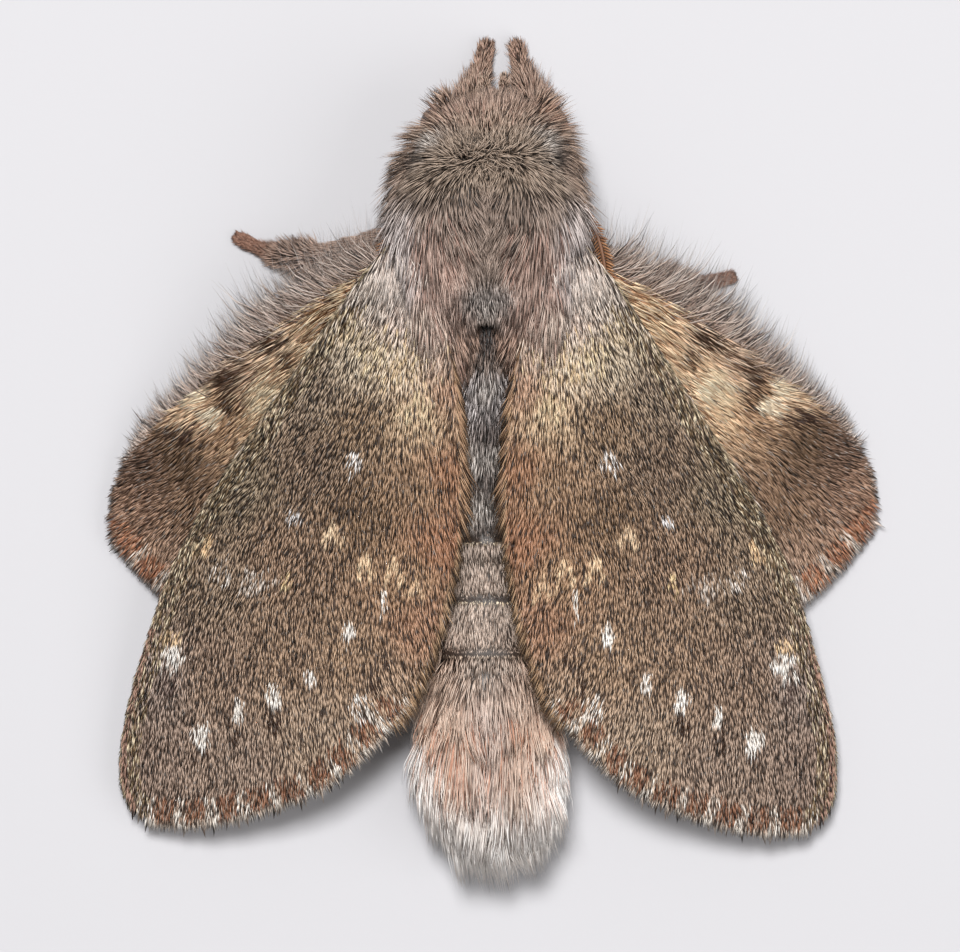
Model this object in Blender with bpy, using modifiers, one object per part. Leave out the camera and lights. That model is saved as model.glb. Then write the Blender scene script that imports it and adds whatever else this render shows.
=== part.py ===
"""Resting male lobster moth, Stauropus fagi, life size.

The head points to -Y, the back up, the moth's left side to +X, and the feet stand on z = 0.
Each solid is the true outline of one part, out to the tips of its hair or scales.
"""
import math

import bmesh
import bpy
from mathutils import Matrix, Vector

MM = 0.001                 # sizes below are in millimetres, meshes are in metres
GAP = 0.20                 # thin cut between parts that grow from each other

SIDES = {"left": 1.0, "right": -1.0}

# trunk stations: y, half width, lowest z, highest z
BODY_SIDES = 24
HEAD_CENTRE = -0.30        # the head is carried a little to the right of the midline
HEAD = [(-16.3, 0.9, 2.0, 3.2), (-15.7, 2.0, 1.75, 4.2), (-14.8, 2.9, 1.6, 5.2),
        (-13.9, 3.4, 1.5, 6.1), (-12.9, 3.8, 1.4, 6.8)]
THORAX = [(-12.7, 4.0, 1.3, 6.9), (-11.5, 4.5, 1.1, 7.5), (-10.0, 4.6, 1.0, 7.9),
          (-8.6, 4.2, 1.1, 7.8), (-7.4, 3.2, 1.3, 7.4), (-6.6, 2.0, 1.9, 6.9)]
ABDOMEN_FRONT = [(-6.3, 1.6, 1.9, 5.0), (-5.0, 2.2, 1.2, 5.2), (-3.0, 2.5, 0.9, 5.3),
                 (0.0, 2.6, 0.8, 5.3), (3.2, 2.6, 0.7, 5.3)]
ABDOMEN_MIDDLE = [(3.4, 2.6, 0.7, 5.3), (5.7, 2.6, 0.7, 5.2), (8.0, 2.7, 0.7, 5.1)]
ABDOMEN_REAR = [(8.2, 2.7, 0.7, 5.1), (10.0, 3.2, 0.6, 5.0), (12.0, 3.3, 0.5, 4.7),
                (13.7, 3.1, 0.5, 4.2)]
TAIL_TUFT = [(13.9, 3.1, 0.5, 4.1), (15.2, 2.5, 0.5, 3.3), (16.4, 2.0, 0.4, 2.5),
             (17.5, 1.4, 0.35, 1.7), (18.25, 0.7, 0.3, 1.0)]
TAIL_CENTRE = -0.25
DORSAL_CREST = 0.45        # tufts that stand along the midline of the front segments
DORSAL_CREST_HALF_WIDTH = 0.75

EYE_RADIUS = 0.95
EYE_PLACE = (2.35, -14.45, 3.1)
PALP = [(0.42, -15.2, 1.42), (0.45, -15.9, 1.62), (0.45, -16.6, 2.1)]
PALP_RADII = [0.27, 0.31, 0.26]

# antenna: a comb folded back along the thorax, then laid between the two wings
ANTENNA = [(2.6, -13.4, 4.9), (3.75, -12.3, 4.75), (4.35, -10.9, 4.65), (4.95, -9.4, 4.5),
           (6.1, -6.9, 4.06), (7.2, -4.4, 3.66), (8.3, -2.0, 3.3)]
ANTENNA_HALF_WIDTH = [0.30, 0.58, 0.70, 0.70, 0.62, 0.45, 0.27]
ANTENNA_HALF_THICKNESS = 0.26
ANTENNA_ROOM = 0.30        # the coat parts this far around the comb
ANTENNA_ROLL = [70, 70, 62, 30, 5, 1, 0]      # degrees, the comb turns from upright to flat

# wing outlines seen from above, from the root to the tip, before the wing's turn
WING_THICKNESS = 0.52
FOREWING_HINGE = (3.2, -9.0)
FOREWING_TURN = {"left": 1.8, "right": -1.8}   # degrees, positive swings the tip outwards
COSTA = [(4.3, -9.9), (5.75, -7.2), (8.15, -3.6), (10.75, 0.4), (12.85, 4.2), (14.1, 7.9),
         (14.95, 11.4), (15.1, 13.8), (14.65, 15.1)]
INNER_MARGIN = [(2.4, -8.6), (1.35, -5.2), (0.85, -1.5), (0.75, 2.4), (1.35, 6.2),
                (2.45, 9.6), (4.1, 11.9), (6.1, 13.7), (8.7, 14.9), (11.6, 15.65),
                (14.0, 15.65)]
HINDWING_HINGE = (3.6, -8.0)
HINDWING_TURN = {"left": -1.2, "right": 1.2}
HIND_COSTA = [(3.5, -9.2), (6.6, -9.6), (9.7, -8.9), (12.2, -6.5), (14.1, -4.0),
              (15.5, -1.6), (16.4, 0.9)]
HIND_INNER = [(3.3, -8.0), (3.3, -3.5), (3.7, 1.0), (5.6, 5.4), (9.4, 7.3), (12.6, 6.7),
              (15.1, 4.8), (16.4, 2.5)]
WING_STEPS_ALONG = 26
WING_STEPS_ACROSS = 7

# legs: joints from the hip to the claw, with the half widths of each length between them
LEG_SIDES = 12
FORELEG_CENTRE = -0.55
FORELEG = [(1.85, -12.3, 1.0), (1.75, -14.5, 0.98), (0.98, -16.5, 0.60), (0.65, -18.1, 0.24)]
FORELEG_RADII = [(0.60, 0.75, 0.72), (0.72, 0.72, 0.48), (0.42, 0.38, 0.30)]
MIDLEG = [(2.6, -9.9, 1.3), (7.2, -8.9, 1.35), (9.1, -9.0, 0.42), (10.7, -9.7, 0.22)]
MIDLEG_RADII = [(0.70, 0.90, 0.75), (0.62, 0.60, 0.38), (0.36, 0.33, 0.28)]
MIDLEG_TURN = {"left": 0.0, "right": -12.0}
HINDLEG = [(2.1, -7.2, 1.2), (5.4, -3.6, 1.6), (6.2, 1.8, 0.42), (5.5, 6.2, 0.22)]
HINDLEG_RADII = [(0.60, 0.75, 0.62), (0.52, 0.55, 0.38), (0.36, 0.33, 0.28)]
LEG_LENGTHS = ("femur", "tibia", "tarsus")

COLOURS = {
    "grey_brown_fur": (0.24, 0.19, 0.16),
    "pale_tail_fur": (0.44, 0.36, 0.31),
    "forewing_scales": (0.17, 0.12, 0.09),
    "hindwing_scales": (0.20, 0.15, 0.11),
    "leg_fur": (0.23, 0.15, 0.12),
    "antenna_comb": (0.35, 0.19, 0.09),
    "compound_eye": (0.03, 0.02, 0.015),
}


def material(name, roughness=0.75):
    """The sub-part's own finish, kept in the file as a named material."""
    finish = bpy.data.materials.get(name) or bpy.data.materials.new(name)
    finish.use_nodes = True
    shader = finish.node_tree.nodes["Principled BSDF"]
    shader.inputs["Base Color"].default_value = (*COLOURS[name], 1.0)
    shader.inputs["Roughness"].default_value = roughness
    shader.inputs["Metallic"].default_value = 0.0
    return finish


def start_scene():
    """An empty scene with one collection for the moth and one for the cutters."""
    for old in list(bpy.data.objects):
        bpy.data.objects.remove(old, do_unlink=True)
    for name in ("lobster_moth", "cutters"):
        bpy.context.scene.collection.children.link(bpy.data.collections.new(name))


def add_solid(name, bm, finish=None):
    """Turn a mesh in millimetres into an object, in the moth's collection or as a cutter."""
    bmesh.ops.transform(bm, matrix=Matrix.Scale(MM, 4), verts=bm.verts)
    bmesh.ops.recalc_face_normals(bm, faces=bm.faces)
    mesh = bpy.data.meshes.new(name)
    bm.to_mesh(mesh)
    bm.free()
    solid = bpy.data.objects.new(name, mesh)
    if finish is None:
        solid.display_type = "WIRE"
        solid.hide_render = True
        bpy.data.collections["cutters"].objects.link(solid)
    else:
        mesh.materials.append(finish)
        mesh.shade_smooth()
        bpy.data.collections["lobster_moth"].objects.link(solid)
    return solid


def smooth_path(points, steps):
    """Places along a Catmull-Rom curve through the points, evenly spaced by length."""
    fine = 12
    ends = [[2 * a - b for a, b in zip(points[0], points[1])]]
    ends += [list(p) for p in points]
    ends.append([2 * a - b for a, b in zip(points[-1], points[-2])])
    track = []
    for i in range(1, len(ends) - 2):
        for k in range(fine):
            t = k / fine
            track.append([
                0.5 * (2 * b + (c - a) * t + (2 * a - 5 * b + 4 * c - d) * t ** 2
                       + (3 * b - a - 3 * c + d) * t ** 3)
                for a, b, c, d in zip(*ends[i - 1:i + 3])])
    track.append(list(points[-1]))
    lengths = [0.0]
    for a, b in zip(track, track[1:]):
        lengths.append(lengths[-1] + math.dist(a, b))
    places, k = [], 0
    for step in range(steps + 1):
        goal = lengths[-1] * step / steps
        while k < len(track) - 2 and lengths[k + 1] < goal:
            k += 1
        t = (goal - lengths[k]) / (lengths[k + 1] - lengths[k])
        places.append([a + (b - a) * t for a, b in zip(track[k], track[k + 1])])
    return places


def loft(rings):
    """A closed solid through a row of like rings of points."""
    bm = bmesh.new()
    loops = [[bm.verts.new(point) for point in ring] for ring in rings]
    for near, far in zip(loops, loops[1:]):
        for i in range(len(near)):
            bm.faces.new((near[i - 1], near[i], far[i], far[i - 1]))
    bm.faces.new(loops[0])
    bm.faces.new(loops[-1])
    return bm


def trunk_ring(station, centre, grow, crest):
    """An upright oval ring, with the dorsal tufts as a ridge on its top."""
    y, half, low, high = station
    middle = (low + high) / 2
    ring = []
    for i in range(BODY_SIDES):
        angle = 2 * math.pi * (i + 0.5) / BODY_SIDES
        x = (half + grow) * math.cos(angle)
        z = middle + ((high - low) / 2 + grow) * math.sin(angle)
        if z > middle:
            z += crest * math.exp(-(x / DORSAL_CREST_HALF_WIDTH) ** 2)
        ring.append((centre + x, y, z))
    return ring


def trunk(name, stations, finish=None, centre=(0.0, 0.0), grow=0.0, crest=0.0, steps=7):
    """One length of the body. Its two ends are flat, and the centre may drift sideways."""
    spots = smooth_path(stations, steps)
    rings = []
    for i, spot in enumerate(spots):
        drift = centre[0] + (centre[1] - centre[0]) * i / steps
        rings.append(trunk_ring(spot, drift, grow, crest))
    return add_solid(name, loft(rings), finish)


def cut_clear(solid, *cutters):
    """Take each cutter's shape out of the solid, which leaves the thin gap beside it."""
    for cutter in cutters:
        modifier = solid.modifiers.new("clear_of_" + cutter.name, "BOOLEAN")
        modifier.operation = "DIFFERENCE"
        modifier.solver = "EXACT"
        modifier.object = cutter


def slice_off(bm, place, direction):
    """Cut away all that lies beyond the place in the direction, and close the cut."""
    everything = bm.verts[:] + bm.edges[:] + bm.faces[:]
    cut = bmesh.ops.bisect_plane(bm, geom=everything, plane_co=place, plane_no=direction,
                                 clear_outer=True)
    rim = [item for item in cut["geom_cut"] if isinstance(item, bmesh.types.BMEdge)]
    if rim:
        bmesh.ops.contextual_create(bm, geom=rim)


def tube_rings(path, halves, thicks, rolls):
    """Oval rings square to a path. The roll turns the oval's long axis up from level."""
    rings = []
    for i, spot in enumerate(path):
        before, after = path[max(i - 1, 0)], path[min(i + 1, len(path) - 1)]
        along = (Vector(after) - Vector(before)).normalized()
        level = along.cross(Vector((0, 0, 1))).normalized()
        upright = level.cross(along)
        tilt = math.radians(rolls[i])
        wide = level * math.cos(tilt) + upright * math.sin(tilt)
        thin = upright * math.cos(tilt) - level * math.sin(tilt)
        ring = []
        for k in range(LEG_SIDES):
            angle = 2 * math.pi * k / LEG_SIDES
            ring.append(Vector(spot) + wide * halves[i] * math.cos(angle)
                        + thin * thicks[i] * math.sin(angle))
        rings.append(ring)
    return rings


def place_points(points, side, centre=0.0, turn=0.0, hinge=(0.0, 0.0)):
    """Turn points about a hinge, seen from above, and mirror them to the moth's other side."""
    turn = math.radians(turn)
    placed = []
    for x, y, *rest in points:
        dx, dy = x - hinge[0], y - hinge[1]
        x = hinge[0] + dx * math.cos(turn) + dy * math.sin(turn)
        y = hinge[1] + dy * math.cos(turn) - dx * math.sin(turn)
        placed.append((centre + SIDES[side] * x, y, *rest))
    return placed


def forewing_height(x, y):
    """The roof of a forewing: highest along the back, falling and drooping outwards."""
    out = abs(x) - 1.5
    return 6.3 - 0.03 * (y + 8.0) - 0.27 * out - 0.004 * out ** 2


def hindwing_height(x, y):
    """A hindwing leaves the thorax below the forewing and flattens out over the ground."""
    out = abs(x) - 4.0
    return 4.0 - 0.36 * out + 0.006 * out ** 2


def wing(name, side, front, rear, turn, hinge, height, finish):
    """A thin curved plate between its front and rear outlines."""
    front = place_points(smooth_path(front, WING_STEPS_ALONG), side, 0.0, turn, hinge)
    rear = place_points(smooth_path(rear, WING_STEPS_ALONG), side, 0.0, turn, hinge)
    bm = bmesh.new()
    rows = []
    for (fx, fy), (rx, ry) in zip(front, rear):
        row = []
        for k in range(WING_STEPS_ACROSS + 1):
            share = k / WING_STEPS_ACROSS
            x, y = fx + (rx - fx) * share, fy + (ry - fy) * share
            row.append(bm.verts.new((x, y, height(x, y))))
        rows.append(row)
    for near, far in zip(rows, rows[1:]):
        for k in range(WING_STEPS_ACROSS):
            bm.faces.new((near[k], near[k + 1], far[k + 1], far[k]))
    plate = add_solid(name, bm, finish)
    thickness = plate.modifiers.new("thickness", "SOLIDIFY")
    thickness.thickness = WING_THICKNESS * MM
    thickness.offset = 0.0
    return plate


def leg(name, side, joints, radii, finish, centre=0.0, turn=0.0):
    """A leg in three straight lengths, parted by thin cuts on the mitre of each joint."""
    spots = [Vector(p) for p in place_points(joints, side, centre, turn, joints[0][:2])]
    lengths = []
    for i, part in enumerate(LEG_LENGTHS):
        start, end = spots[i], spots[i + 1]
        along = (end - start).normalized()
        first, middle, last = radii[i]
        reach = 0.6 * middle
        path = [start - along * (reach if i else 0.0), start.lerp(end, 0.25),
                start.lerp(end, 0.6), end + along * (reach if i < 2 else 0.0)]
        halves = [first, middle, middle, last]
        if i == 2:
            path.append(end + along * last * 0.7)
            halves.append(last * 0.55)
        bm = loft(tube_rings(path, halves, halves, [0.0] * len(path)))
        if i:
            mitre = (along + (start - spots[i - 1]).normalized()).normalized()
            slice_off(bm, start + mitre * GAP / 2, -mitre)
        if i < 2:
            mitre = (along + (spots[i + 2] - end).normalized()).normalized()
            slice_off(bm, end - mitre * GAP / 2, mitre)
        slice_off(bm, (0, 0, 0), (0, 0, -1))
        lengths.append(add_solid(f"{name}_{part}_{side}", bm, finish))
    return lengths


def ball(name, place, radius, finish=None):
    """A closed sphere, low in faces."""
    bm = bmesh.new()
    bmesh.ops.create_uvsphere(bm, u_segments=16, v_segments=10, radius=radius,
                              matrix=Matrix.Translation(place))
    return add_solid(name, bm, finish)


def build_trunk():
    """Head, thorax, abdomen in three lengths and the tail tuft, with their cutters."""
    fur = material("grey_brown_fur")
    head = trunk("head", HEAD, fur, centre=(HEAD_CENTRE, HEAD_CENTRE))
    thorax = trunk("thorax", THORAX, fur)
    trunk("abdomen_front", ABDOMEN_FRONT, fur, crest=DORSAL_CREST)
    trunk("abdomen_middle", ABDOMEN_MIDDLE, fur, steps=4)
    tail = material("pale_tail_fur")
    trunk("abdomen_rear", ABDOMEN_REAR, tail, centre=(0.0, TAIL_CENTRE), steps=5)
    trunk("tail_tuft", TAIL_TUFT, tail, centre=(TAIL_CENTRE, TAIL_CENTRE), steps=6)
    head_cutter = trunk("head_space", HEAD, centre=(HEAD_CENTRE, HEAD_CENTRE), grow=GAP)
    thorax_cutter = trunk("thorax_space", THORAX, grow=GAP)
    return head, thorax, head_cutter, thorax_cutter


def build_head_parts(side, head, thorax, head_cutter):
    """Eye in its socket, palp below the face, and the folded comb of the antenna."""
    sign = SIDES[side]
    place = (HEAD_CENTRE + sign * EYE_PLACE[0], *EYE_PLACE[1:])
    ball("eye_" + side, place, EYE_RADIUS, material("compound_eye", 0.15))
    cut_clear(head, ball("eye_socket_" + side, place, EYE_RADIUS + GAP / 2))

    path = place_points(PALP, side, HEAD_CENTRE)
    rings = tube_rings(path, PALP_RADII, PALP_RADII, [0.0] * len(path))
    palp = add_solid("palp_" + side, loft(rings), material("leg_fur"))
    cut_clear(palp, head_cutter)

    stations = [(*spot, half, roll)
                for spot, half, roll in zip(ANTENNA, ANTENNA_HALF_WIDTH, ANTENNA_ROLL)]
    stations = place_points(smooth_path(stations, 14), side)
    path = [station[:3] for station in stations]
    halves = [station[3] for station in stations]
    rolls = [sign * station[4] for station in stations]
    thicks = [ANTENNA_HALF_THICKNESS] * len(path)
    comb = loft(tube_rings(path, halves, thicks, rolls))
    add_solid("antenna_" + side, comb, material("antenna_comb"))
    groove = tube_rings(path, [half + ANTENNA_ROOM for half in halves],
                        [thick + ANTENNA_ROOM for thick in thicks], rolls)
    groove = add_solid("antenna_groove_" + side, loft(groove))
    cut_clear(head, groove)
    cut_clear(thorax, groove)


def build_wings(side, thorax_cutter):
    """Forewing as a roof over the body, and the flatter hindwing that shows in front of it."""
    forewing = wing("forewing_" + side, side, COSTA, INNER_MARGIN, FOREWING_TURN[side],
                    FOREWING_HINGE, forewing_height, material("forewing_scales"))
    hindwing = wing("hindwing_" + side, side, HIND_COSTA, HIND_INNER, HINDWING_TURN[side],
                    HINDWING_HINGE, hindwing_height, material("hindwing_scales"))
    cut_clear(forewing, thorax_cutter)
    cut_clear(hindwing, thorax_cutter)


def build_legs(side, head_cutter, thorax_cutter):
    """Three legs, which end in small flats where the feet stand on the ground."""
    fur = material("leg_fur")
    fore = leg("foreleg", side, FORELEG, FORELEG_RADII, fur, centre=FORELEG_CENTRE)
    middle = leg("midleg", side, MIDLEG, MIDLEG_RADII, fur, turn=MIDLEG_TURN[side])
    hind = leg("hindleg", side, HINDLEG, HINDLEG_RADII, fur)
    for thigh in (fore[0], middle[0], hind[0]):
        cut_clear(thigh, thorax_cutter)
    cut_clear(fore[0], head_cutter)
    cut_clear(fore[1], head_cutter)


start_scene()
head_solid, thorax_solid, head_space, thorax_space = build_trunk()
for moth_side in SIDES:
    build_head_parts(moth_side, head_solid, thorax_solid, head_space)
    build_wings(moth_side, thorax_space)
    build_legs(moth_side, head_space, thorax_space)
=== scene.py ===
import math

import bmesh
import bpy
import numpy as np
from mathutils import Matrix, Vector
from mathutils.kdtree import KDTree


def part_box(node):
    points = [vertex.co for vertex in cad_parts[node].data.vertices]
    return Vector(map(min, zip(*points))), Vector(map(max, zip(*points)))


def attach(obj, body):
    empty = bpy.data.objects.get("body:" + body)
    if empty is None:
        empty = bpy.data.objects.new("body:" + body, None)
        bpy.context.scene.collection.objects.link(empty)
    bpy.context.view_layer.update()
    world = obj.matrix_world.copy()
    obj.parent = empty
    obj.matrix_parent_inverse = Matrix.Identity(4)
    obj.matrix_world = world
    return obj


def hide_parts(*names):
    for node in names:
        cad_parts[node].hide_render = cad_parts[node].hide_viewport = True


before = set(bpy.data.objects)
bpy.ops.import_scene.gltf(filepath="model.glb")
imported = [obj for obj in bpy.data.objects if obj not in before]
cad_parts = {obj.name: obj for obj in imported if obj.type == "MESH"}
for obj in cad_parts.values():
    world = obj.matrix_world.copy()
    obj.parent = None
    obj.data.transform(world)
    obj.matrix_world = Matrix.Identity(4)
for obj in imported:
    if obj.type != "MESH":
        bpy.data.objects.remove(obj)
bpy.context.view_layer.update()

# --- The frame -------------------------------------------------------------------------------
# A male lobster moth, Stauropus fagi, at rest: head to -Y, back up, feet on the floor at z = 0.
# The solids give its true outline, and the skin, hair and scales below fill that outline.
MM = 0.001
bpy.ops.object.select_all(action="DESELECT")

# --- Camera ----------------------------------------------------------------------------------
# A close-up lens straight above the back, a little behind the middle, with the head upwards. It is
# more than seven times the moth's length away, so that the high back is hardly drawn larger.
CAMERA_HEIGHT = 280 * MM
VIEW_WIDTH = 41.28 * MM
VIEW_CENTRE = (0.30 * MM, 0.52 * MM)

bpy.ops.object.camera_add(location=(*VIEW_CENTRE, CAMERA_HEIGHT), rotation=(0, 0, math.pi))
camera = bpy.context.object
camera.data.sensor_width = 36
camera.data.lens = camera.data.sensor_width * CAMERA_HEIGHT / VIEW_WIDTH
camera.data.clip_start = 10 * MM
camera.data.clip_end = 2.0
bpy.context.scene.camera = camera
bpy.context.scene.view_settings.view_transform = "Standard"


# --- Floor -----------------------------------------------------------------------------------
# A plain pale board, painted matt white, which the moth stands on. Its top is at z = 0, where
# the six feet touch it.
def linear(code):
    """A #rrggbb colour as the linear red, green and blue that the shaders take."""
    parts = [int(code[i:i + 2], 16) / 255 for i in (1, 3, 5)]
    return [c / 12.92 if c <= 0.04045 else ((c + 0.055) / 1.055) ** 2.4 for c in parts]


def add_node(tree, kind, settings=(), links=()):
    """One shader node, its settings by attribute or input, and links from other sockets."""
    node = tree.nodes.new(kind)
    for key, value in settings:
        if isinstance(key, str) and hasattr(node, key):
            setattr(node, key, value)
        else:
            node.inputs[key].default_value = value
    for key, socket in links:
        tree.links.new(socket, node.inputs[key])
    return node


def new_material(name):
    """A material with only its output, ready for its own nodes."""
    material = bpy.data.materials.new(name)
    material.use_nodes = True
    material.node_tree.nodes.clear()
    return material, material.node_tree


def finish_material(tree, shader):
    """Send the shader to the material's output."""
    add_node(tree, "ShaderNodeOutputMaterial", links=[("Surface", shader.outputs[0])])


bpy.ops.mesh.primitive_plane_add(size=0.9)
floor = bpy.context.object
floor.name = "floor"
# matt emulsion paint, rolled on: dull, even and very finely pebbled
board_paint, tree = new_material("matt_white_paint")
grain = add_node(tree, "ShaderNodeTexNoise", [("Scale", 900.0), ("Detail", 3.0)],
                 [("Vector", add_node(tree, "ShaderNodeTexCoord").outputs["Object"])])
relief = add_node(tree, "ShaderNodeBump", [("Strength", 0.08), ("Distance", 0.1 * MM)],
                  [("Height", grain.outputs["Fac"])])
shader = add_node(tree, "ShaderNodeBsdfPrincipled",
                  [("Base Color", (*linear("#bcbbbe"), 1)), ("Roughness", 0.85)],
                  [("Normal", relief.outputs["Normal"])])
finish_material(tree, shader)
floor.data.materials.append(board_paint)

# --- Studio light ----------------------------------------------------------------------------
# One large soft light ahead of the head and to its left, a weaker one opposite, and pale walls.
# Each light: its place, its width and its power.
LIGHTS = {"key_light": ((0.03, -0.10, 0.385), 0.10, 1.95),
          "fill_light": ((-0.24, 0.12, 0.26), 0.30, 0.51)}
for name, (place, size, power) in LIGHTS.items():
    bpy.ops.object.light_add(type="AREA", location=place)
    lamp = bpy.context.object
    lamp.name = name
    lamp.rotation_euler = (-Vector(place)).to_track_quat("-Z", "Y").to_euler()
    lamp.data.size = size
    lamp.data.energy = power
world = bpy.data.worlds.new("pale_room")
bpy.context.scene.world = world
world.use_nodes = True
world.node_tree.nodes["Background"].inputs["Color"].default_value = (*linear("#f8f6f4"), 1)
world.node_tree.nodes["Background"].inputs["Strength"].default_value = 0.27

# --- Flesh -----------------------------------------------------------------------------------
# The body under its coat: soft cuticle over head, thorax, abdomen and legs, grown as one piece.
# Each trunk length is the solid drawn in by the depth of its coat, then all is fused and smoothed.
TRUNK_SHARE = {"thorax": 0.84, "abdomen_front": 0.90, "abdomen_middle": 0.90}
TRUNK_OVERLAP = 0.7 * MM
SKIN_GRAIN = 0.10 * MM
EYE_RADIUS = 0.9
EYES = {"left": (1.95, -14.4, 3.0), "right": (-2.55, -14.4, 3.0)}
EYE_RIM = {"radius": 0.93, "thickness": 0.16, "inset": 0.28}
# swellings: the middle of each, and half its width, length and height
LUMPS = {"crown": ((-0.3, -13.5, 3.7), (2.5, 1.3, 2.2)),
         "face": ((-0.3, -14.6, 2.6), (1.25, 0.95, 1.2)),
         "neck": ((-0.2, -12.8, 3.9), (3.1, 1.7, 2.5)),
         "sixth_segment": ((0, 10.0, 2.9), (2.45, 3.2, 1.95)),
         "last_segment": ((-0.05, 11.9, 2.85), (2.6, 2.7, 1.85)),
         "tegula_left": ((2.3, -7.9, 6.0), (1.0, 2.7, 0.45)),
         "tegula_right": ((-2.3, -7.9, 6.0), (1.0, 2.7, 0.45)),
         "rump": ((0, -4.9, 4.6), (1.2, 1.8, 0.85)),
         "flank_left": ((1.15, -5.9, 5.3), (0.6, 1.6, 0.75)),
         "flank_right": ((-1.15, -5.9, 5.3), (0.6, 1.6, 0.75))}
SIDES = {"left": 1.0, "right": -1.0}
# limbs: joints from the body to the tip, the radius at each, the pair's middle, the right one's turn
LIMBS = {
    "foreleg": ([(1.85, -12.3, 1.0), (1.75, -14.5, 0.98), (0.95, -16.5, 0.60), (0.62, -18.0, 0.26)],
                [0.42, 0.36, 0.24, 0.2], -0.62, 0),
    "midleg": ([(2.6, -9.8, 1.3), (7.2, -8.75, 1.35), (9.1, -8.95, 0.42), (10.7, -9.7, 0.24)],
               [0.62, 0.38, 0.13, 0.16], 0, -12),
    "hindleg": ([(2.1, -7.2, 1.2), (5.4, -3.6, 1.6), (6.2, 1.8, 0.42), (5.5, 6.2, 0.24)],
                [0.42, 0.36, 0.24, 0.2], 0, 0),
    "palp": ([(0.42, -14.9, 1.45), (0.44, -15.5, 1.5), (0.45, -16.0, 1.7), (0.45, -16.5, 2.1)],
             [0.2, 0.22, 0.2, 0.14], -0.3, 0),
}
MUSCLE = 0.05              # how far a limb swells between its joints


def turned(points, side, turn, hinge, centre=0.0):
    """Points turned about a hinge, seen from above, then set on the left or right side."""
    points = np.array(points, float)
    angle = math.radians(turn)
    dx, dy = points[:, 0] - hinge[0], points[:, 1] - hinge[1]
    points[:, 0] = centre + SIDES[side] * (hinge[0] + dx * math.cos(angle) + dy * math.sin(angle))
    points[:, 1] = hinge[1] + dy * math.cos(angle) - dx * math.sin(angle)
    return points


def vertices_of(mesh, what="co"):
    """A mesh's vertex places or normals as rows of three numbers."""
    values = np.empty(len(mesh.vertices) * 3, np.float32)
    mesh.vertices.foreach_get(what, values)
    return values.reshape(-1, 3).astype(float)


def activate(piece, *others):
    """Make a piece the active one, selected with the others."""
    bpy.ops.object.select_all(action="DESELECT")
    for item in (piece, *others):
        item.select_set(True)
    bpy.context.view_layer.objects.active = piece


def link(name, data):
    """A new object in the scene that holds a mesh or a curve."""
    piece = bpy.data.objects.new(name, data)
    bpy.context.scene.collection.objects.link(piece)
    return piece


def join(name, pieces):
    """Join pieces into one, under its own name."""
    activate(pieces[0], *pieces[1:])
    bpy.ops.object.join()
    pieces[0].name = name
    return pieces[0]


def apply_modifier(piece, kind, **settings):
    """Add a modifier with its settings and apply it."""
    modifier = piece.modifiers.new(kind.lower(), kind)
    for key, value in settings.items():
        setattr(modifier, key, value)
    activate(piece)
    bpy.ops.object.modifier_apply(modifier=modifier.name)


def tube(name, places, radii, resolution):
    """A round tube with closed ends through the places, with a radius at each, as a mesh."""
    curve = bpy.data.curves.new(name, "CURVE")
    curve.dimensions = "3D"
    curve.bevel_depth = MM
    curve.bevel_resolution = resolution
    curve.use_fill_caps = True
    spline = curve.splines.new("POLY")
    spline.points.add(len(places) - 1)
    for point, place, radius in zip(spline.points, places, radii):
        point.co = (*(np.array(place) * MM), 1)
        point.radius = radius
    activate(link(name, curve))
    bpy.ops.object.convert(target="MESH")
    return bpy.context.object


lengths = []
for node, share in TRUNK_SHARE.items():
    form = bmesh.new()
    form.from_mesh(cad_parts[node].data)
    bmesh.ops.remove_doubles(form, verts=form.verts, dist=1e-6)
    low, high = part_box(node)
    middle = (low + high) / 2
    reach = (high.y - low.y + TRUNK_OVERLAP) / (high.y - low.y)
    for vertex in form.verts:
        vertex.co.x = middle.x + (vertex.co.x - middle.x) * share
        vertex.co.y = middle.y + (vertex.co.y - middle.y) * reach
        vertex.co.z = middle.z + (vertex.co.z - middle.z) * share
    mesh = bpy.data.meshes.new(node + "_flesh")
    form.to_mesh(mesh)
    form.free()
    lengths.append(link(node + "_flesh", mesh))
for place, radii in LUMPS.values():
    bpy.ops.mesh.primitive_uv_sphere_add(segments=32, ring_count=20, radius=MM,
                                         location=[c * MM for c in place], scale=radii)
    bpy.ops.object.transform_apply()
    lengths.append(bpy.context.object)
for side, place in EYES.items():
    inward = (place[0] - SIDES[side] * EYE_RIM["inset"], *place[1:])
    bpy.ops.mesh.primitive_torus_add(major_radius=EYE_RIM["radius"] * MM,
                                     minor_radius=EYE_RIM["thickness"] * MM,
                                     location=[c * MM for c in inward], rotation=(0, math.pi / 2, 0))
    bpy.ops.object.transform_apply()
    lengths.append(bpy.context.object)

limb_paths = {}
for name, (joints, radii, centre, turn) in LIMBS.items():
    for side in SIDES:
        path = turned(joints, side, turn if side == "right" else 0, joints[0][:2], centre)
        limb_paths[name, side] = path
        places, widths = [], []
        for i in range(3):
            for t in (0.0, 0.12, 0.35, 0.65, 0.88):
                places.append(path[i] + (path[i + 1] - path[i]) * t)
                widths.append(radii[i] + (radii[i + 1] - radii[i]) * t + MUSCLE * math.sin(math.pi * t))
        lengths.append(tube(f"{name}_{side}_flesh", [*places, path[3]], [*widths, radii[3]], 4))

skin = join("body_skin", lengths)
apply_modifier(skin, "REMESH", mode="VOXEL", voxel_size=SKIN_GRAIN, use_smooth_shade=True)
apply_modifier(skin, "SMOOTH", factor=0.5, iterations=10)
bpy.ops.object.mode_set(mode="EDIT")
bpy.ops.mesh.select_all(action="SELECT")
bpy.ops.uv.smart_project(angle_limit=math.radians(66), island_margin=0.002)
bpy.ops.object.mode_set(mode="OBJECT")
skin.data.uv_layers[0].name = "OFBake"

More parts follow.
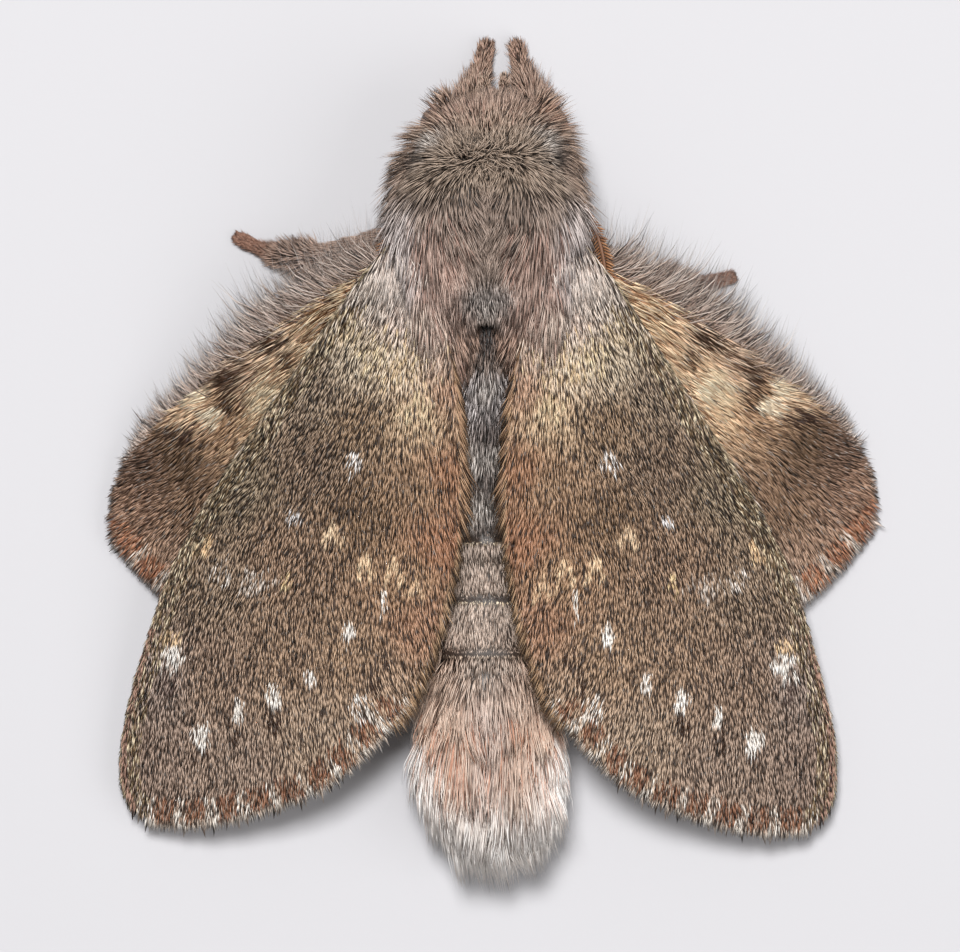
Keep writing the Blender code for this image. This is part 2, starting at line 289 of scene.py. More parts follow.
# --- Coat of the body -------------------------------------------------------------------------
# Hairs of hollow chitin, each a closed sliver rooted in the skin. They part from two whorls behind
# the head, sweep round the thorax, lie on the abdomen in short rows and end in a long pale brush.
SHADES = {
    "fawn": "#887263", "rust": "#82614f", "ash": "#b3a89f", "olive": "#7f6e60",
    "mouse": "#74645a", "grey": "#a99d99", "pale_grey": "#b5aaa8", "pink_brown": "#967c70",
    "dusk": "#554a46", "beige": "#a89486", "buff_pink": "#ab9488", "orange_buff": "#a98c7a",
    # the near-black shade is partly dark hair and partly painted shade: in the hollow behind the thorax
    # crest and in the dark rows of the combs
    "tail_pale": "#dbd0c8", "russet": "#84695a", "belly": "#9a8b82", "dark_hair_and_shade": "#241813",
    "crest": "#8f857f", "leg": "#8d7466", "shank": "#674a3d", "streak": "#945a40", "cream": "#c9b193",
}
# guide locks: place, lie, length, rise off the skin, shade; mirrored to the other side
LOCKS = [
    ((0.0, -15.5, 2.8), (0, -1, -0.3), 0.8, 0.4, "leg"),
    ((0.9, -15.2, 3.0), (0.3, -1, -0.1), 0.9, 0.4, "leg"),
    ((0.0, -14.7, 4.6), (0, -1, 0.1), 1.1, 0.6, "leg"),
    ((0.9, -14.7, 4.4), (0.25, -1, 0), 1.2, 0.6, "leg"),
    ((1.6, -14.4, 4.2), (0.35, -0.95, 0), 1.1, 0.6, "leg"),
    ((2.1, -14.3, 4.0), (0.9, -0.4, 0.25), 1.5, 0.5, "rust"),
    ((2.6, -13.8, 4.3), (0.95, -0.25, 0.15), 1.6, 0.5, "rust"),
    ((2.1, -13.9, 4.8), (0.97, -0.15, 0.05), 1.7, 0.4, "fawn"),
    ((3.0, -13.3, 4.4), (0.7, 0.7, -0.1), 1.4, 0.4, "fawn"),
    ((3.2, -13.4, 2.8), (0.5, 0.6, -0.3), 1.0, 0.4, "fawn"),
    ((2.1, -13.2, 5.5), (0.9, -0.3, 0.2), 0.9, 0.5, "ash"),
    ((2.6, -12.85, 5.5), (0.9, 0.1, 0), 0.4, 0.1, "dark_hair_and_shade"),
    ((0.0, -14.2, 5.8), (0, -0.9, 0), 0.8, 0.7, "fawn"),
    ((1.2, -13.9, 5.7), (0.3, -0.9, 0), 0.8, 0.6, "fawn"),
    ((0.8, -13.2, 6.1), (0.8, -0.5, 0), 0.9, 0.6, "olive"),
    ((0.0, -13.1, 6.1), (0.7, -0.4, 0.6), 0.9, 0.5, "olive"),
    ((0.0, -12.7, 6.3), (-0.7, 0.4, 0.6), 0.9, 0.5, "olive"),
    ((0.0, -12.2, 6.5), (0.3, 0.9, 0), 1.0, 0.6, "olive"),
    ((1.4, -13.0, 6.2), (0.6, -0.4, 0), 0.8, 0.7, "olive"),
    ((1.9, -12.6, 6.1), (1, 0.3, 0), 1.2, 0.35, "olive"),
    ((1.3, -12.3, 6.6), (0.5, 0.8, 0), 1.1, 0.6, "olive"),
    ((0.7, -12.2, 6.7), (-0.3, 0.9, 0), 1.0, 0.6, "olive"),
    ((2.3, -12.1, 6.2), (0.75, 0.6, 0), 1.5, 0.3, "olive"),
    ((3.1, -12.2, 5.3), (0.6, 0.8, 0), 1.6, 0.35, "fawn"),
    ((3.7, -11.3, 4.8), (0.65, 0.8, 0.1), 2.2, 0.4, "grey"),
    ((3.8, -11.6, 3.4), (0.6, 0.8, 0), 1.6, 0.4, "fawn"),
    ((2.4, -11.2, 6.4), (0.35, 0.92, 0), 1.9, 0.22, "mouse"),
    ((3.0, -10.8, 5.9), (0.28, 0.95, 0), 2.4, 0.3, "grey"),
    ((1.2, -11.2, 7.0), (-0.15, 1, 0), 1.6, 0.3, "mouse"),
    ((0.4, -11.5, 7.1), (-0.6, 0.7, 0), 1.1, 0.45, "mouse"),
    ((0.0, -10.8, 7.3), (0, 1, 0), 1.2, 0.5, "mouse"),
    ((0.7, -10.3, 7.3), (-0.65, 0.75, 0), 1.5, 0.35, "mouse"),
    ((1.5, -10.0, 7.1), (-0.45, 0.9, 0), 1.8, 0.25, "mouse"),
    ((2.4, -9.8, 6.7), (0.0, 1, 0), 2.2, 0.2, "pink_brown"),
    ((3.3, -9.7, 5.7), (0.15, 1, 0), 2.5, 0.3, "grey"),
    ((4.0, -9.6, 4.8), (0.15, 1, 0.1), 2.2, 0.4, "grey"),
    ((1.7, -8.8, 7.1), (-0.3, 0.95, 0), 2.0, 0.22, "pink_brown"),
    ((2.4, -8.2, 6.7), (0.0, 1, -0.1), 2.2, 0.15, "pink_brown"),
    ((0.8, -8.9, 7.4), (-0.5, 0.85, 0), 1.5, 0.35, "mouse"),
    ((0.0, -9.2, 7.5), (0, 1, 0), 1.3, 0.45, "mouse"),
    ((0.3, -8.3, 7.3), (-0.3, 0.9, 0), 1.2, 0.5, "mouse"),
    ((0.0, -7.9, 7.1), (0, 0.95, 0.15), 0.9, 0.4, "crest"),
    ((0.0, -7.3, 6.8), (0, 0.9, 0.35), 0.6, 0.4, "crest"),
    ((0.5, -7.3, 6.7), (0.2, 0.9, 0.3), 0.7, 0.4, "crest"),
    ((0.0, -6.8, 6.3), (0, 0.8, 0.5), 0.4, 0.3, "ash"),
    ((1.0, -6.6, 6.2), (-0.4, 1, -0.1), 1.3, 0.25, "pink_brown"),
    ((1.1, -5.6, 5.9), (-0.4, 1, -0.1), 1.4, 0.25, "russet"),
    ((1.2, -4.6, 5.6), (-0.3, 1, -0.1), 1.4, 0.25, "russet"),
    ((1.4, -7.2, 6.8), (-0.05, 1, 0), 1.9, 0.2, "pink_brown"),
    ((2.1, -6.2, 6.7), (0.0, 1, -0.05), 2.2, 0.12, "pink_brown"),
    ((2.3, -5.7, 6.2), (0.0, 1, -0.1), 2.0, 0.08, "beige"),
    ((3.1, -6.8, 6.1), (0.08, 1, -0.1), 2.0, 0.10, "beige"),
    ((3.2, -8.6, 6.0), (0.08, 1, -0.05), 2.0, 0.2, "grey"),
    ((7.5, -9.2, 1.3), (0.15, -1, 0.2), 1.1, 0.4, "mouse"),
    ((8.0, -9.2, 1.1), (0.25, -1, 0.2), 1.15, 0.4, "mouse"),
    ((8.5, -9.2, 0.9), (0.4, -1, 0.2), 1.0, 0.4, "mouse"),
    ((9.0, -9.2, 0.7), (0.7, -0.8, 0.1), 0.5, 0.4, "rust"),
    ((3.8, -9.0, 3.4), (0.1, 1, 0), 1.2, 0.3, "belly"),
    ((0.0, -10.0, 1.4), (0, 1, 0), 1.0, 0.3, "belly"),
    ((2.0, -8.0, 1.6), (0.2, 1, 0), 1.0, 0.3, "belly"),
    # short near-black locks: partly dark hair, partly painted shade in the hollow between the crest and the
    # abdomen
    ((0.0, -6.4, 5.6), (0, 1, 0), 0.25, 0.1, "dark_hair_and_shade"),
    ((0.35, -6.4, 5.6), (0, 1, 0), 0.25, 0.1, "dark_hair_and_shade"),
    ((0.0, -6.1, 5.4), (0, 1, 0), 0.3, 0.1, "dark_hair_and_shade"),
    ((0.7, -5.9, 5.5), (-0.2, 1, 0.2), 0.9, 0.4, "russet"),
    ((0.0, -5.5, 5.4), (0, 0.9, 0.3), 1.0, 0.5, "dusk"),
    ((0.3, -4.7, 5.3), (0.15, 1, 0.1), 1.1, 0.5, "mouse"),
    ((0.6, -4.0, 5.1), (0.3, 1, 0), 1.1, 0.5, "pale_grey"),
    ((0.0, -3.7, 5.2), (0, 1, 0.1), 1.1, 0.5, "ash"),
    ((0.7, -2.8, 5.0), (0.1, 1, 0), 1.0, 0.4, "pale_grey"),
    ((0.0, -1.7, 5.1), (0, 1, 0.1), 1.0, 0.5, "dusk"),
    ((0.5, -0.6, 5.0), (-0.1, 1, 0), 1.0, 0.5, "ash"),
    ((0.0, 0.3, 5.1), (0, 1, 0.1), 1.1, 0.6, "dusk"),
    ((0.4, 1.6, 5.1), (0.1, 1, 0.1), 0.9, 0.4, "ash"),
    ((0.0, 2.3, 5.1), (0, 1, 0.1), 0.8, 0.4, "dusk"),
    ((2.2, -2.0, 3.2), (0.1, 1, 0), 0.9, 0.25, "fawn"),
    ((2.2, 2.5, 3.2), (0.1, 1, 0), 0.9, 0.25, "fawn"),
    ((0.0, 3.6, 5.0), (0, 1, 0), 0.7, 0.2, "beige"),
    ((1.4, 3.6, 4.7), (0.05, 1, 0), 0.7, 0.2, "beige"),
    ((0.0, 6.0, 4.9), (0, 1, 0), 0.7, 0.2, "beige"),
    ((1.4, 6.0, 4.6), (0.1, 1, 0), 0.7, 0.25, "beige"),
    ((2.1, 4.0, 4.0), (0.45, 0.85, 0.25), 1.3, 0.55, "rust"),
    ((2.2, 6.3, 4.0), (0.45, 0.85, 0.25), 1.5, 0.55, "rust"),
    ((0.0, 8.2, 4.9), (0, 1, 0), 0.8, 0.2, "beige"),
    ((2.0, 8.4, 4.1), (0.35, 0.9, 0.2), 1.4, 0.45, "orange_buff"),
    ((0.0, 10.2, 4.8), (0, 1, 0), 2.2, 0.25, "buff_pink"),
    ((1.4, 10.2, 4.5), (0.08, 1, 0), 1.9, 0.3, "orange_buff"),
    ((2.2, 10.2, 3.9), (0.18, 0.95, 0), 2.4, 0.35, "orange_buff"),
    ((2.6, 11.4, 3.0), (0.17, 0.95, 0), 2.8, 0.35, "tail_pale"),
    ((1.2, 12.0, 4.4), (0.10, 1, 0), 3.5, 0.25, "orange_buff"),
    ((0.0, 12.2, 4.5), (0, 1, 0), 3.6, 0.2, "buff_pink"),
    ((1.8, 12.8, 3.7), (0.10, 1, 0.05), 3.1, 0.3, "tail_pale"),
    ((2.2, 13.2, 2.4), (0.1, 1, -0.05), 3.1, 0.2, "tail_pale"),
    ((0.0, 13.8, 3.9), (0, 1, 0.05), 3.5, 0.25, "tail_pale"),
    ((1.4, 14.0, 3.0), (0.08, 1, 0), 3.6, 0.2, "tail_pale"),
    ((0.0, 14.5, 2.6), (0.0, 1, -0.1), 3.8, 0.15, "tail_pale"),
    ((0.0, 14.5, 1.5), (0.0, 1, -0.1), 2.9, 0.05, "tail_pale"),
    ((0.0, 12.0, 0.9), (0, 1, 0), 1.6, 0.12, "belly"),
    ((0.0, 3.0, 1.0), (0, 1, 0), 0.8, 0.2, "belly"),
    ((2.0, 6.0, 1.6), (0.1, 1, 0), 0.8, 0.2, "belly"),
]
# length and rise of the hair on the femur, tibia and foot, how far it fans outwards, and its shade
LIMB_HAIR = {
    "foreleg": [(1.0, 0.4, 0.2, "leg"), (1.15, 0.7, 0.4, "leg"), (0.45, 0.7, 0.2, "russet")],
    "midleg": [(0.7, 0.25, 0.4, "leg"), (1.3, 0.5, 2.2, "leg"), (0.35, 0.6, 0.3, "shank")],
    "hindleg": [(0.9, 0.4, 0.1, "leg"), (0.9, 0.5, 0.3, "leg"), (0.4, 0.4, 0.1, "russet")],
    "palp": [(0.4, 0.4, 0.0, "fawn")] * 3,
}
PARTING = -12.9            # where the hair parts behind the head
TAIL_START = 9.5
BRUSH_START = 11.5
HAIR_COUNT = 84000
TAIL_LEAN = -0.17          # the tail brush is swept a little to the moth's right
SEGMENT_EDGES = {3.15: 1.0, 5.7: 1.0, 7.95: 0.25}    # and how dark the comb of scales is at each
# the comb's dark and pale rows: how far behind the edge, length, shade, number of scales; the dark row
# is partly dark scales and partly painted shade, the shadow line at each segment's rear edge
COMB_SCALES = [(-0.17, 0.28, "dark_hair_and_shade", 1100), (0.04, 0.34, "cream", 500)]
PATCH = 0.0015             # half the width of one sliver's patch on the unwrap
STRAYS = 0.06              # share of the hairs that lie twice as far out of line as the others


def unit(rows):
    """Rows scaled to length one."""
    return rows / np.maximum(np.linalg.norm(rows, axis=1, keepdims=True), 1e-9)


def strew(base, count, seed, weigh):
    """Spread roots over a skin by area: their places, normals and places on the unwrap."""
    mesh = base.data
    mesh.calc_loop_triangles()
    corners = np.empty(len(mesh.loop_triangles) * 3, np.int32)
    loops = corners.copy()
    mesh.loop_triangles.foreach_get("vertices", corners)
    mesh.loop_triangles.foreach_get("loops", loops)
    corners, loops = corners.reshape(-1, 3), loops.reshape(-1, 3)
    places, normals = vertices_of(mesh) / MM, vertices_of(mesh, "normal")
    unwrap = np.empty(len(mesh.loops) * 2, np.float32)
    mesh.uv_layers[0].data.foreach_get("uv", unwrap)
    unwrap = unwrap.reshape(-1, 2)
    a, b, c = (places[corners[:, i]] for i in range(3))
    share = np.linalg.norm(np.cross(b - a, c - a), axis=1)
    share = share * weigh((a + b + c) / 3, normals[corners].mean(1))
    random = np.random.default_rng(seed)
    steps = (np.arange(count) + random.random(count)) / count
    pick = np.searchsorted(np.cumsum(share) / share.sum(), steps).clip(0, len(share) - 1)
    r1, r2 = np.sqrt(random.random(count)), random.random(count)
    mix = np.stack([1 - r1, r1 * (1 - r2), r1 * r2], 1)[:, :, None]
    root = (places[corners[pick]] * mix).sum(1)
    normal = unit((normals[corners[pick]] * mix).sum(1))
    return root, normal, (unwrap[loops[pick]] * mix).sum(1)


def mottle(places, size, seed):
    """Smooth random blotches of about the given size, from 0 to 1, at the places."""
    spots = np.asarray(places, float) / size + 31.7 * seed
    cell = np.floor(spots).astype(np.int64)
    part = spots - cell
    part = part * part * (3 - 2 * part)
    total = np.zeros(len(spots))
    for corner in range(2 ** spots.shape[1]):
        pick = np.array([(corner >> axis) & 1 for axis in range(spots.shape[1])])
        code = ((cell + pick) * np.array([73856093, 19349663, 83492791])[:spots.shape[1]]).sum(1)
        value = ((code ^ (code >> 13)) * 1274126177 % 65536) / 65536
        total += value * np.prod(np.where(pick, part, 1 - part), axis=1)
    return total


def paint(mesh, name, colour):
    """Keep a linear colour on each vertex, for the material to read."""
    rgba = np.concatenate([colour, np.ones((len(colour), 1))], 1)
    mesh.attributes.new(name, "FLOAT_COLOR", "POINT").data.foreach_set(
        "color", rgba.ravel().astype(np.float32))


def number(mesh, name, values):
    """Keep a number on each vertex, for the material to read."""
    mesh.attributes.new(name, "FLOAT", "POINT").data.foreach_set(
        "value", np.asarray(values, np.float32))


def dye(piece, colour, tone, along):
    """Give a skin or shaft what the hair material reads: its colour, tone and place along a hair."""
    paint(piece.data, "coat_colour", colour)
    number(piece.data, "tone", np.full(len(colour), tone))
    number(piece.data, "along", np.broadcast_to(along, len(colour)))


def flock_drift(root, end, length, flock, gather, random):
    """How far each hair's tip is drawn to the tip of the hair that leads its lock."""
    chosen = random.choice(len(root), max(1, len(root) // flock), replace=False)
    tree = KDTree(len(chosen))
    for i, k in enumerate(chosen):
        tree.insert(root[k], i)
    tree.balance()
    lead = chosen[np.array([tree.find(place)[1] for place in root])]
    near = np.linalg.norm(root - root[lead], axis=1, keepdims=True) < 0.4 * length
    return np.where(near, (end[lead] - end) * gather, 0)


def coat(name, root, normal, unwrap, lie, length, width, rise, droop, colour, seed,
         rings=1, gather=0.0, flock=14, sink=0.03, sway=0.08, wave=0.0, depth=0.5, bend=0.0,
         tip=None, even=False):
    """Grow one sliver per root along the lie and join them. Sizes are in millimetres."""
    random = np.random.default_rng(seed)
    count = len(root)
    tone = random.random(count)
    tone = np.where(even, 0.45 + 0.25 * tone, tone)
    # the lie of each hair, laid back along the skin, and the two directions square to it
    sure = np.clip(np.linalg.norm(lie, axis=1, keepdims=True), 0.4, 1)
    outward = (lie * normal).sum(1, keepdims=True)
    lie = unit(lie - normal * np.minimum(outward, 0))
    up = normal - lie * (lie * normal).sum(1, keepdims=True)
    up = unit(np.where(np.linalg.norm(up, axis=1, keepdims=True) < 0.3, up + (0, 0, 1), up))
    across = np.cross(lie, up)
    stray = np.where(random.random(count) < STRAYS, 2.0, 1.0)
    curl = (mottle(root, 0.9, seed) - 0.5) * 2 * wave + random.normal(0, sway, count) * stray
    lie = unit(lie + across * curl[:, None])
    across = unit(np.cross(lie, up))
    length = (length * random.uniform(0.7, 1.2, count))[:, None]
    width = (width * random.uniform(0.7, 1.3, count))[:, None]
    # a bright hair lies further up, and one whose guides disagree stands up
    rise = (rise * random.uniform(0.6, 1.3, count) * (0.55 + 0.9 * tone))[:, None]
    rise = np.maximum(rise, 1 - sure)
    lie = lie * sure
    droop = np.broadcast_to(droop, count)[:, None]
    end = root + length * (lie + up * (rise - droop))
    drift = flock_drift(root, end, length, flock, gather, random) if gather else np.zeros_like(root)
    drift = drift + bend
    # a point at the root, one or two three-sided rings, and a point at the tip
    stations = {1: (0.0, 0.5, 1.0), 2: (0.0, 0.3, 0.68, 1.0)}[rings]
    swell = {1: (1.0,), 2: (1.0, 0.75)}[rings]
    rows, fractions, shifts = [], [], []
    for i, s in enumerate(stations):
        spine = root - normal * sink + length * (lie * s + up * (rise * s - droop * s * s)) + drift * s * s
        if 0 < i <= rings:
            half = width / 2 * swell[i - 1]
            rows += [spine - across * half, spine + across * half, spine + up * half * 2 * depth]
            shifts += [(-1, s), (1, s), (0, s)]
            fractions += [s] * 3
        else:
            rows.append(spine)
            shifts.append((0, s))
            fractions.append(s)
    points = len(rows)
    verts = np.stack(rows, 1).reshape(-1, 3) * MM
    verts[:, 2] = np.maximum(verts[:, 2], 0.01 * MM)
    faces = [(0, 3, 1), (0, 2, 3), (0, 1, 2)]
    if rings == 2:
        faces += [(1, 3, 6), (1, 6, 4), (3, 2, 5), (3, 5, 6), (2, 1, 4), (2, 4, 5)]
    k = 3 * (rings - 1)
    faces += [(points - 1, 1 + k, 3 + k), (points - 1, 3 + k, 2 + k), (points - 1, 2 + k, 1 + k)]
    faces = (np.array(faces)[None] + (np.arange(count) * points)[:, None, None]).reshape(-1, 3)
    mesh = bpy.data.meshes.new(name)
    mesh.vertices.add(len(verts))
    mesh.vertices.foreach_set("co", verts.ravel())
    mesh.loops.add(faces.size)
    mesh.loops.foreach_set("vertex_index", faces.ravel().astype(np.int32))
    mesh.polygons.add(len(faces))
    mesh.polygons.foreach_set("loop_start", np.arange(0, faces.size, 3, dtype=np.int32))
    mesh.update(calc_edges=True)
    mesh.shade_smooth()
    shift = np.array(shifts) * (1, 2) - (0, 1)
    patch = (unwrap[:, None] + shift[None] * PATCH).reshape(-1, 2)
    mesh.uv_layers.new(name="OFBake").data.foreach_set(
        "uv", patch[faces.ravel()].ravel().astype(np.float32))
    blend = np.array(fractions)[None, :, None]
    shades = colour[:, None] * (1 - blend) + (colour if tip is None else tip)[:, None] * blend
    paint(mesh, "coat_colour", shades.reshape(-1, 3))
    number(mesh, "tone", np.repeat(tone, points))
    number(mesh, "along", np.tile(fractions, count))
    return link(name, mesh)


def hair_material(name, gain=1.12, dark=0.14, bright=2.1, rough=0.45, painted_glint=0.0, blotch_mm=0.6):
    """Chitin hair or scale: some dark and rich, some bleached, all darkened towards the root by painted
    shade, and a few with a painted highlight near the tip. It gives the eye a soft, streaked pile
    with a low sheen."""
    material, tree = new_material(name)
    colour, tone, along = (add_node(tree, "ShaderNodeAttribute", [("attribute_name", what)])
                           for what in ("coat_colour", "tone", "along"))
    spot = add_node(tree, "ShaderNodeTexNoise", [("Scale", 1 / (blotch_mm * MM)), ("Detail", 2.0)],
                    [("Vector", add_node(tree, "ShaderNodeTexCoord").outputs["Object"])])
    strength = add_node(tree, "ShaderNodeMapRange",
                        [("interpolation_type", "SMOOTHERSTEP"), ("From Min", 0.05), ("From Max", 0.95),
                         ("To Min", dark * gain), ("To Max", bright * gain)],
                        [("Value", tone.outputs["Fac"])])
    # painted shade: each hair is darkened towards its root, where the hairs lying over it would shade it
    root_painted_shade = add_node(tree, "ShaderNodeMapRange", [("From Max", 0.7), ("To Min", 0.3), ("To Max", 1.2)],
                          [("Value", along.outputs["Fac"])])
    blotch = add_node(tree, "ShaderNodeMapRange", [("From Min", 0.3), ("From Max", 0.7),
                      ("To Min", 0.86), ("To Max", 1.14)], [("Value", spot.outputs["Fac"])])
    part = add_node(tree, "ShaderNodeMath", [("operation", "MULTIPLY")],
                    [(0, root_painted_shade.outputs[0]), (1, blotch.outputs[0])])
    whole = add_node(tree, "ShaderNodeMath", [("operation", "MULTIPLY")],
                     [(0, part.outputs[0]), (1, strength.outputs[0])])
    # 1 - (1 - colour) ** strength: brighter or darker, yet never more than all the light
    lack = add_node(tree, "ShaderNodeInvert", links=[("Color", colour.outputs["Color"])])
    bent = add_node(tree, "ShaderNodeGamma", links=[("Color", lack.outputs[0]), ("Gamma", whole.outputs[0])])
    held = add_node(tree, "ShaderNodeInvert", links=[("Color", bent.outputs[0])])
    # painted highlight: the tips of a few of the brightest hairs are mixed towards near-white, as glints of
    # light
    painted_glint_tone = add_node(tree, "ShaderNodeMapRange", [("From Min", 0.96), ("From Max", 0.97), ("To Max", painted_glint)],
                     [("Value", tone.outputs["Fac"])])
    ending = add_node(tree, "ShaderNodeMapRange", [("From Min", 0.7), ("From Max", 0.85)],
                      [("Value", along.outputs["Fac"])])
    pale = add_node(tree, "ShaderNodeMath", [("operation", "MULTIPLY")],
                    [(0, painted_glint_tone.outputs[0]), (1, ending.outputs[0])])
    mixed = add_node(tree, "ShaderNodeMix", [("data_type", "RGBA"), (7, (*linear("#f6f0ea"), 1))],
                     [(0, pale.outputs[0]), (6, held.outputs[0])])
    shader = add_node(tree, "ShaderNodeBsdfPrincipled",
                      [("Roughness", rough), ("IOR", 1.56), ("Specular IOR Level", 0.45)],
                      [("Base Color", mixed.outputs[2])])
    finish_material(tree, shader)
    return material


def groom(root):
    """Blend the nearest guide locks round each root: lie, length, rise and linear colour."""
    place = np.array([g[0] for g in guides])
    away = ((root[:, None] - place[None]) ** 2).sum(2) + 0.15
    share = away ** -2.0
    share /= share.sum(1, keepdims=True)
    lie = share @ unit(np.array([g[1] for g in guides], float))
    sizes = share @ np.array([[g[2], g[3]] for g in guides])
    colour = share @ np.array([linear(SHADES[g[4]]) for g in guides])
    return lie, sizes[:, 0], sizes[:, 1], colour


def near_parting(place, width=2.0, reach=0.5):
    """How near a place is to the parting behind the head, from 0 to 1."""
    return np.exp(-(place[:, 0] / width) ** 2 - ((place[:, 1] - PARTING) / reach) ** 2)


def body_density(place, normal):
    """Hair stands closest where it is shortest, and thinner on the belly and under the wings."""
    x, y = np.abs(place[:, 0]), place[:, 1]
    below = np.where(normal[:, 2] < -0.2, 0.45, 1.0)
    covered = (x > 1.6) & (y > -4.5) & (y < 8.5)
    limb = (x > 4.4) | (y < -15.2)
    thick = 1.0 + 0.6 * limb + 7.0 * (x > 8.8) + 2.0 * near_parting(place) + 0.5 * (y > TAIL_START)
    return below * np.where(covered, 0.35, 1.0) * thick / (0.35 + groom(place)[1]) ** 0.6


def blended(colour, shade, share):
    """The colours mixed with a share of one shade."""
    return colour * (1 - share) + np.array(linear(shade)) * share


guides = []
for place, lie, length, rise, shade in LOCKS:
    guides.append((place, lie, length, rise, shade))
    if place[0]:
        guides.append(((-place[0], *place[1:]), (-lie[0], *lie[1:]), length, rise, shade))
for (name, side), path in limb_paths.items():
    for i, (length, rise, fan, shade) in enumerate(LIMB_HAIR[name]):
        along = unit((path[i + 1] - path[i])[None])[0]
        outward = np.cross(along, (0, 0, -SIDES[side]))
        steps = (0.1, 0.37, 0.63, 0.9)
        for t in steps[1:] if i == 0 else steps:
            for way in (-1, 0, 1):
                guides.append((path[i] + (path[i + 1] - path[i]) * t + outward * way * 0.3,
                               along + outward * way * fan, length, rise, shade))
# a ring of locks round each eye, which are longest above it, like a brow
for side, eye in EYES.items():
    for step in range(12):
        around = math.radians(30 * step)
        way = np.array([0.35 * SIDES[side], math.cos(around), math.sin(around)])
        place = np.array(eye) + (0.25 * SIDES[side], 1.25 * way[1], 1.25 * way[2])
        over = max(way[2], 0)
        guides.append((place, way * (1, 1, 0.2) + (SIDES[side] * 1.4 * over, -0.3 * over, 0),
                       0.7 + 1.3 * over, 0.35, "fawn"))

root, normal, unwrap = strew(skin, HAIR_COUNT, 11, body_density)
lie, length, rise, colour = groom(root)
x, y = np.abs(root[:, 0]), root[:, 1]
parting = near_parting(root)[:, None]
# the hair lies every way along the parting, and is longer there
lie = lie + np.random.default_rng(13).normal(0, 1, lie.shape) * (1.0, 1.0, 0.3) * parting
length = length * (1 + 0.25 * parting[:, 0])
colour = colour * (0.8 + 0.4 * mottle(root, 0.5, 3))[:, None]
# single hairs of another colour: ruddy on shoulders and head, sooty on the back, streaks on the tail
chance = np.random.default_rng(12).random(len(root))
ruddy = (chance < 0.2) & (np.abs(x - 2.1) < 1.1) & (np.abs(y + 7.5) < 3.5)
ruddy |= (chance < 0.15) & (y < -13.8)
sooty = (chance > 0.62) & (x < 1.1) & (np.abs(y + 1.5) < 4.5)
streaky = (chance < 0.22) & (y > 10.0) & (y < 13.0)
colour[ruddy] = blended(colour[ruddy], "#86665a", 0.7)
colour[sooty] *= 0.25
colour[streaky] = blended(colour[streaky], SHADES["streak"], 0.7)
tail = y > TAIL_START
lie[tail, 0] += TAIL_LEAN * np.clip((y[tail] - BRUSH_START) / 2, 0, 1)
# the hair of each segment is cut short at its rear edge, and a comb of scales stands there
for edge in SEGMENT_EDGES:
    ahead = edge - y + 0.03 * np.sin(root[:, 0] * 17)
    row = (ahead > 0) & (ahead < 1.1) & (root[:, 2] > 2.5) & (x < 1.7)
    length[row] = np.minimum(length[row], np.maximum(0.95 * ahead[row], 0.12))
# the dark row stands partly for dark scale tips and partly for painted shade along the segment's edge
for k, (edge, dark) in enumerate(SEGMENT_EDGES.items()):
    for step, reach, shade, count in COMB_SCALES:
        def comb_row(place, normal):
            return np.exp(-((place[:, 1] - edge - step) / 0.035) ** 2) * (place[:, 2] > 2.5)

        rows = strew(skin, count, 60 + k, comb_row)
        taken = np.random.default_rng(k).random(count) < 0.4 + 0.6 * dark
        rows = [part[taken] for part in rows]
        own = blended(groom(rows[0])[3], SHADES[shade], dark)
        count = len(own)
        rows += [np.tile((0.0, 1.0, 0.0), (count, 1)), np.full(count, reach), np.full(count, 0.12), own]
        root, normal, unwrap, lie, length, rise, colour = (
            np.concatenate(pair) for pair in zip((root, normal, unwrap, lie, length, rise, colour), rows))
y = root[:, 1]
curly = 0.25 + 1.0 * near_parting(root, 1.8, 0.8)
tousle = np.where(y < -13.6, 0.22, 0.11)
droop = rise * np.interp(rise, (0.25, 0.6), (0.8, 0.45))
bleached = blended(colour, "#d6cbc3", np.clip((y[:, None] - BRUSH_START) / 2, 0, 1) * 0.9)
faded = (y > 12.3) & (np.random.default_rng(14).random(len(root)) < 0.75)
body_hair = hair_material("body_hair")
# three pieces for the body and one for the tail, each of them hair from one length of the moth
order = np.argsort(y)
tail_from = (y < TAIL_START).sum()
parts = [*np.array_split(order[:tail_from], 3), order[tail_from:]]
for k, part in enumerate(parts):
    last = k == len(parts) - 1
    piece = coat(f"body_coat_{k}", root[part], normal[part], unwrap[part], lie[part], length[part],
                 width=0.042 + 0.003 * length[part], rise=rise[part], droop=droop[part],
                 colour=colour[part], seed=20 + k, rings=2 if last else 1,
                 gather=0.5 if last else 0.3, flock=60 if last else 12,
                 wave=curly[part], sway=tousle[part], tip=bleached[part], even=faded[part])
    piece.data.materials.append(body_hair)
    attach(piece, "root")

skin_place = vertices_of(skin.data) / MM
# the skin takes the coat's markings but is set very dark in tone and along: partly its own dark brown,
# partly painted shade in the gaps between the hairs, with less of it along the parting
dye(skin, groom(skin_place)[3], 0.15, 0.15 + 0.55 * near_parting(skin_place))
skin.data.materials.append(body_hair)
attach(skin, "root")
fleshy = [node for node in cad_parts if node.split("_")[0] in
          ("head", "thorax", "abdomen", "tail", "foreleg", "midleg", "hindleg", "palp")]
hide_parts(*fleshy)

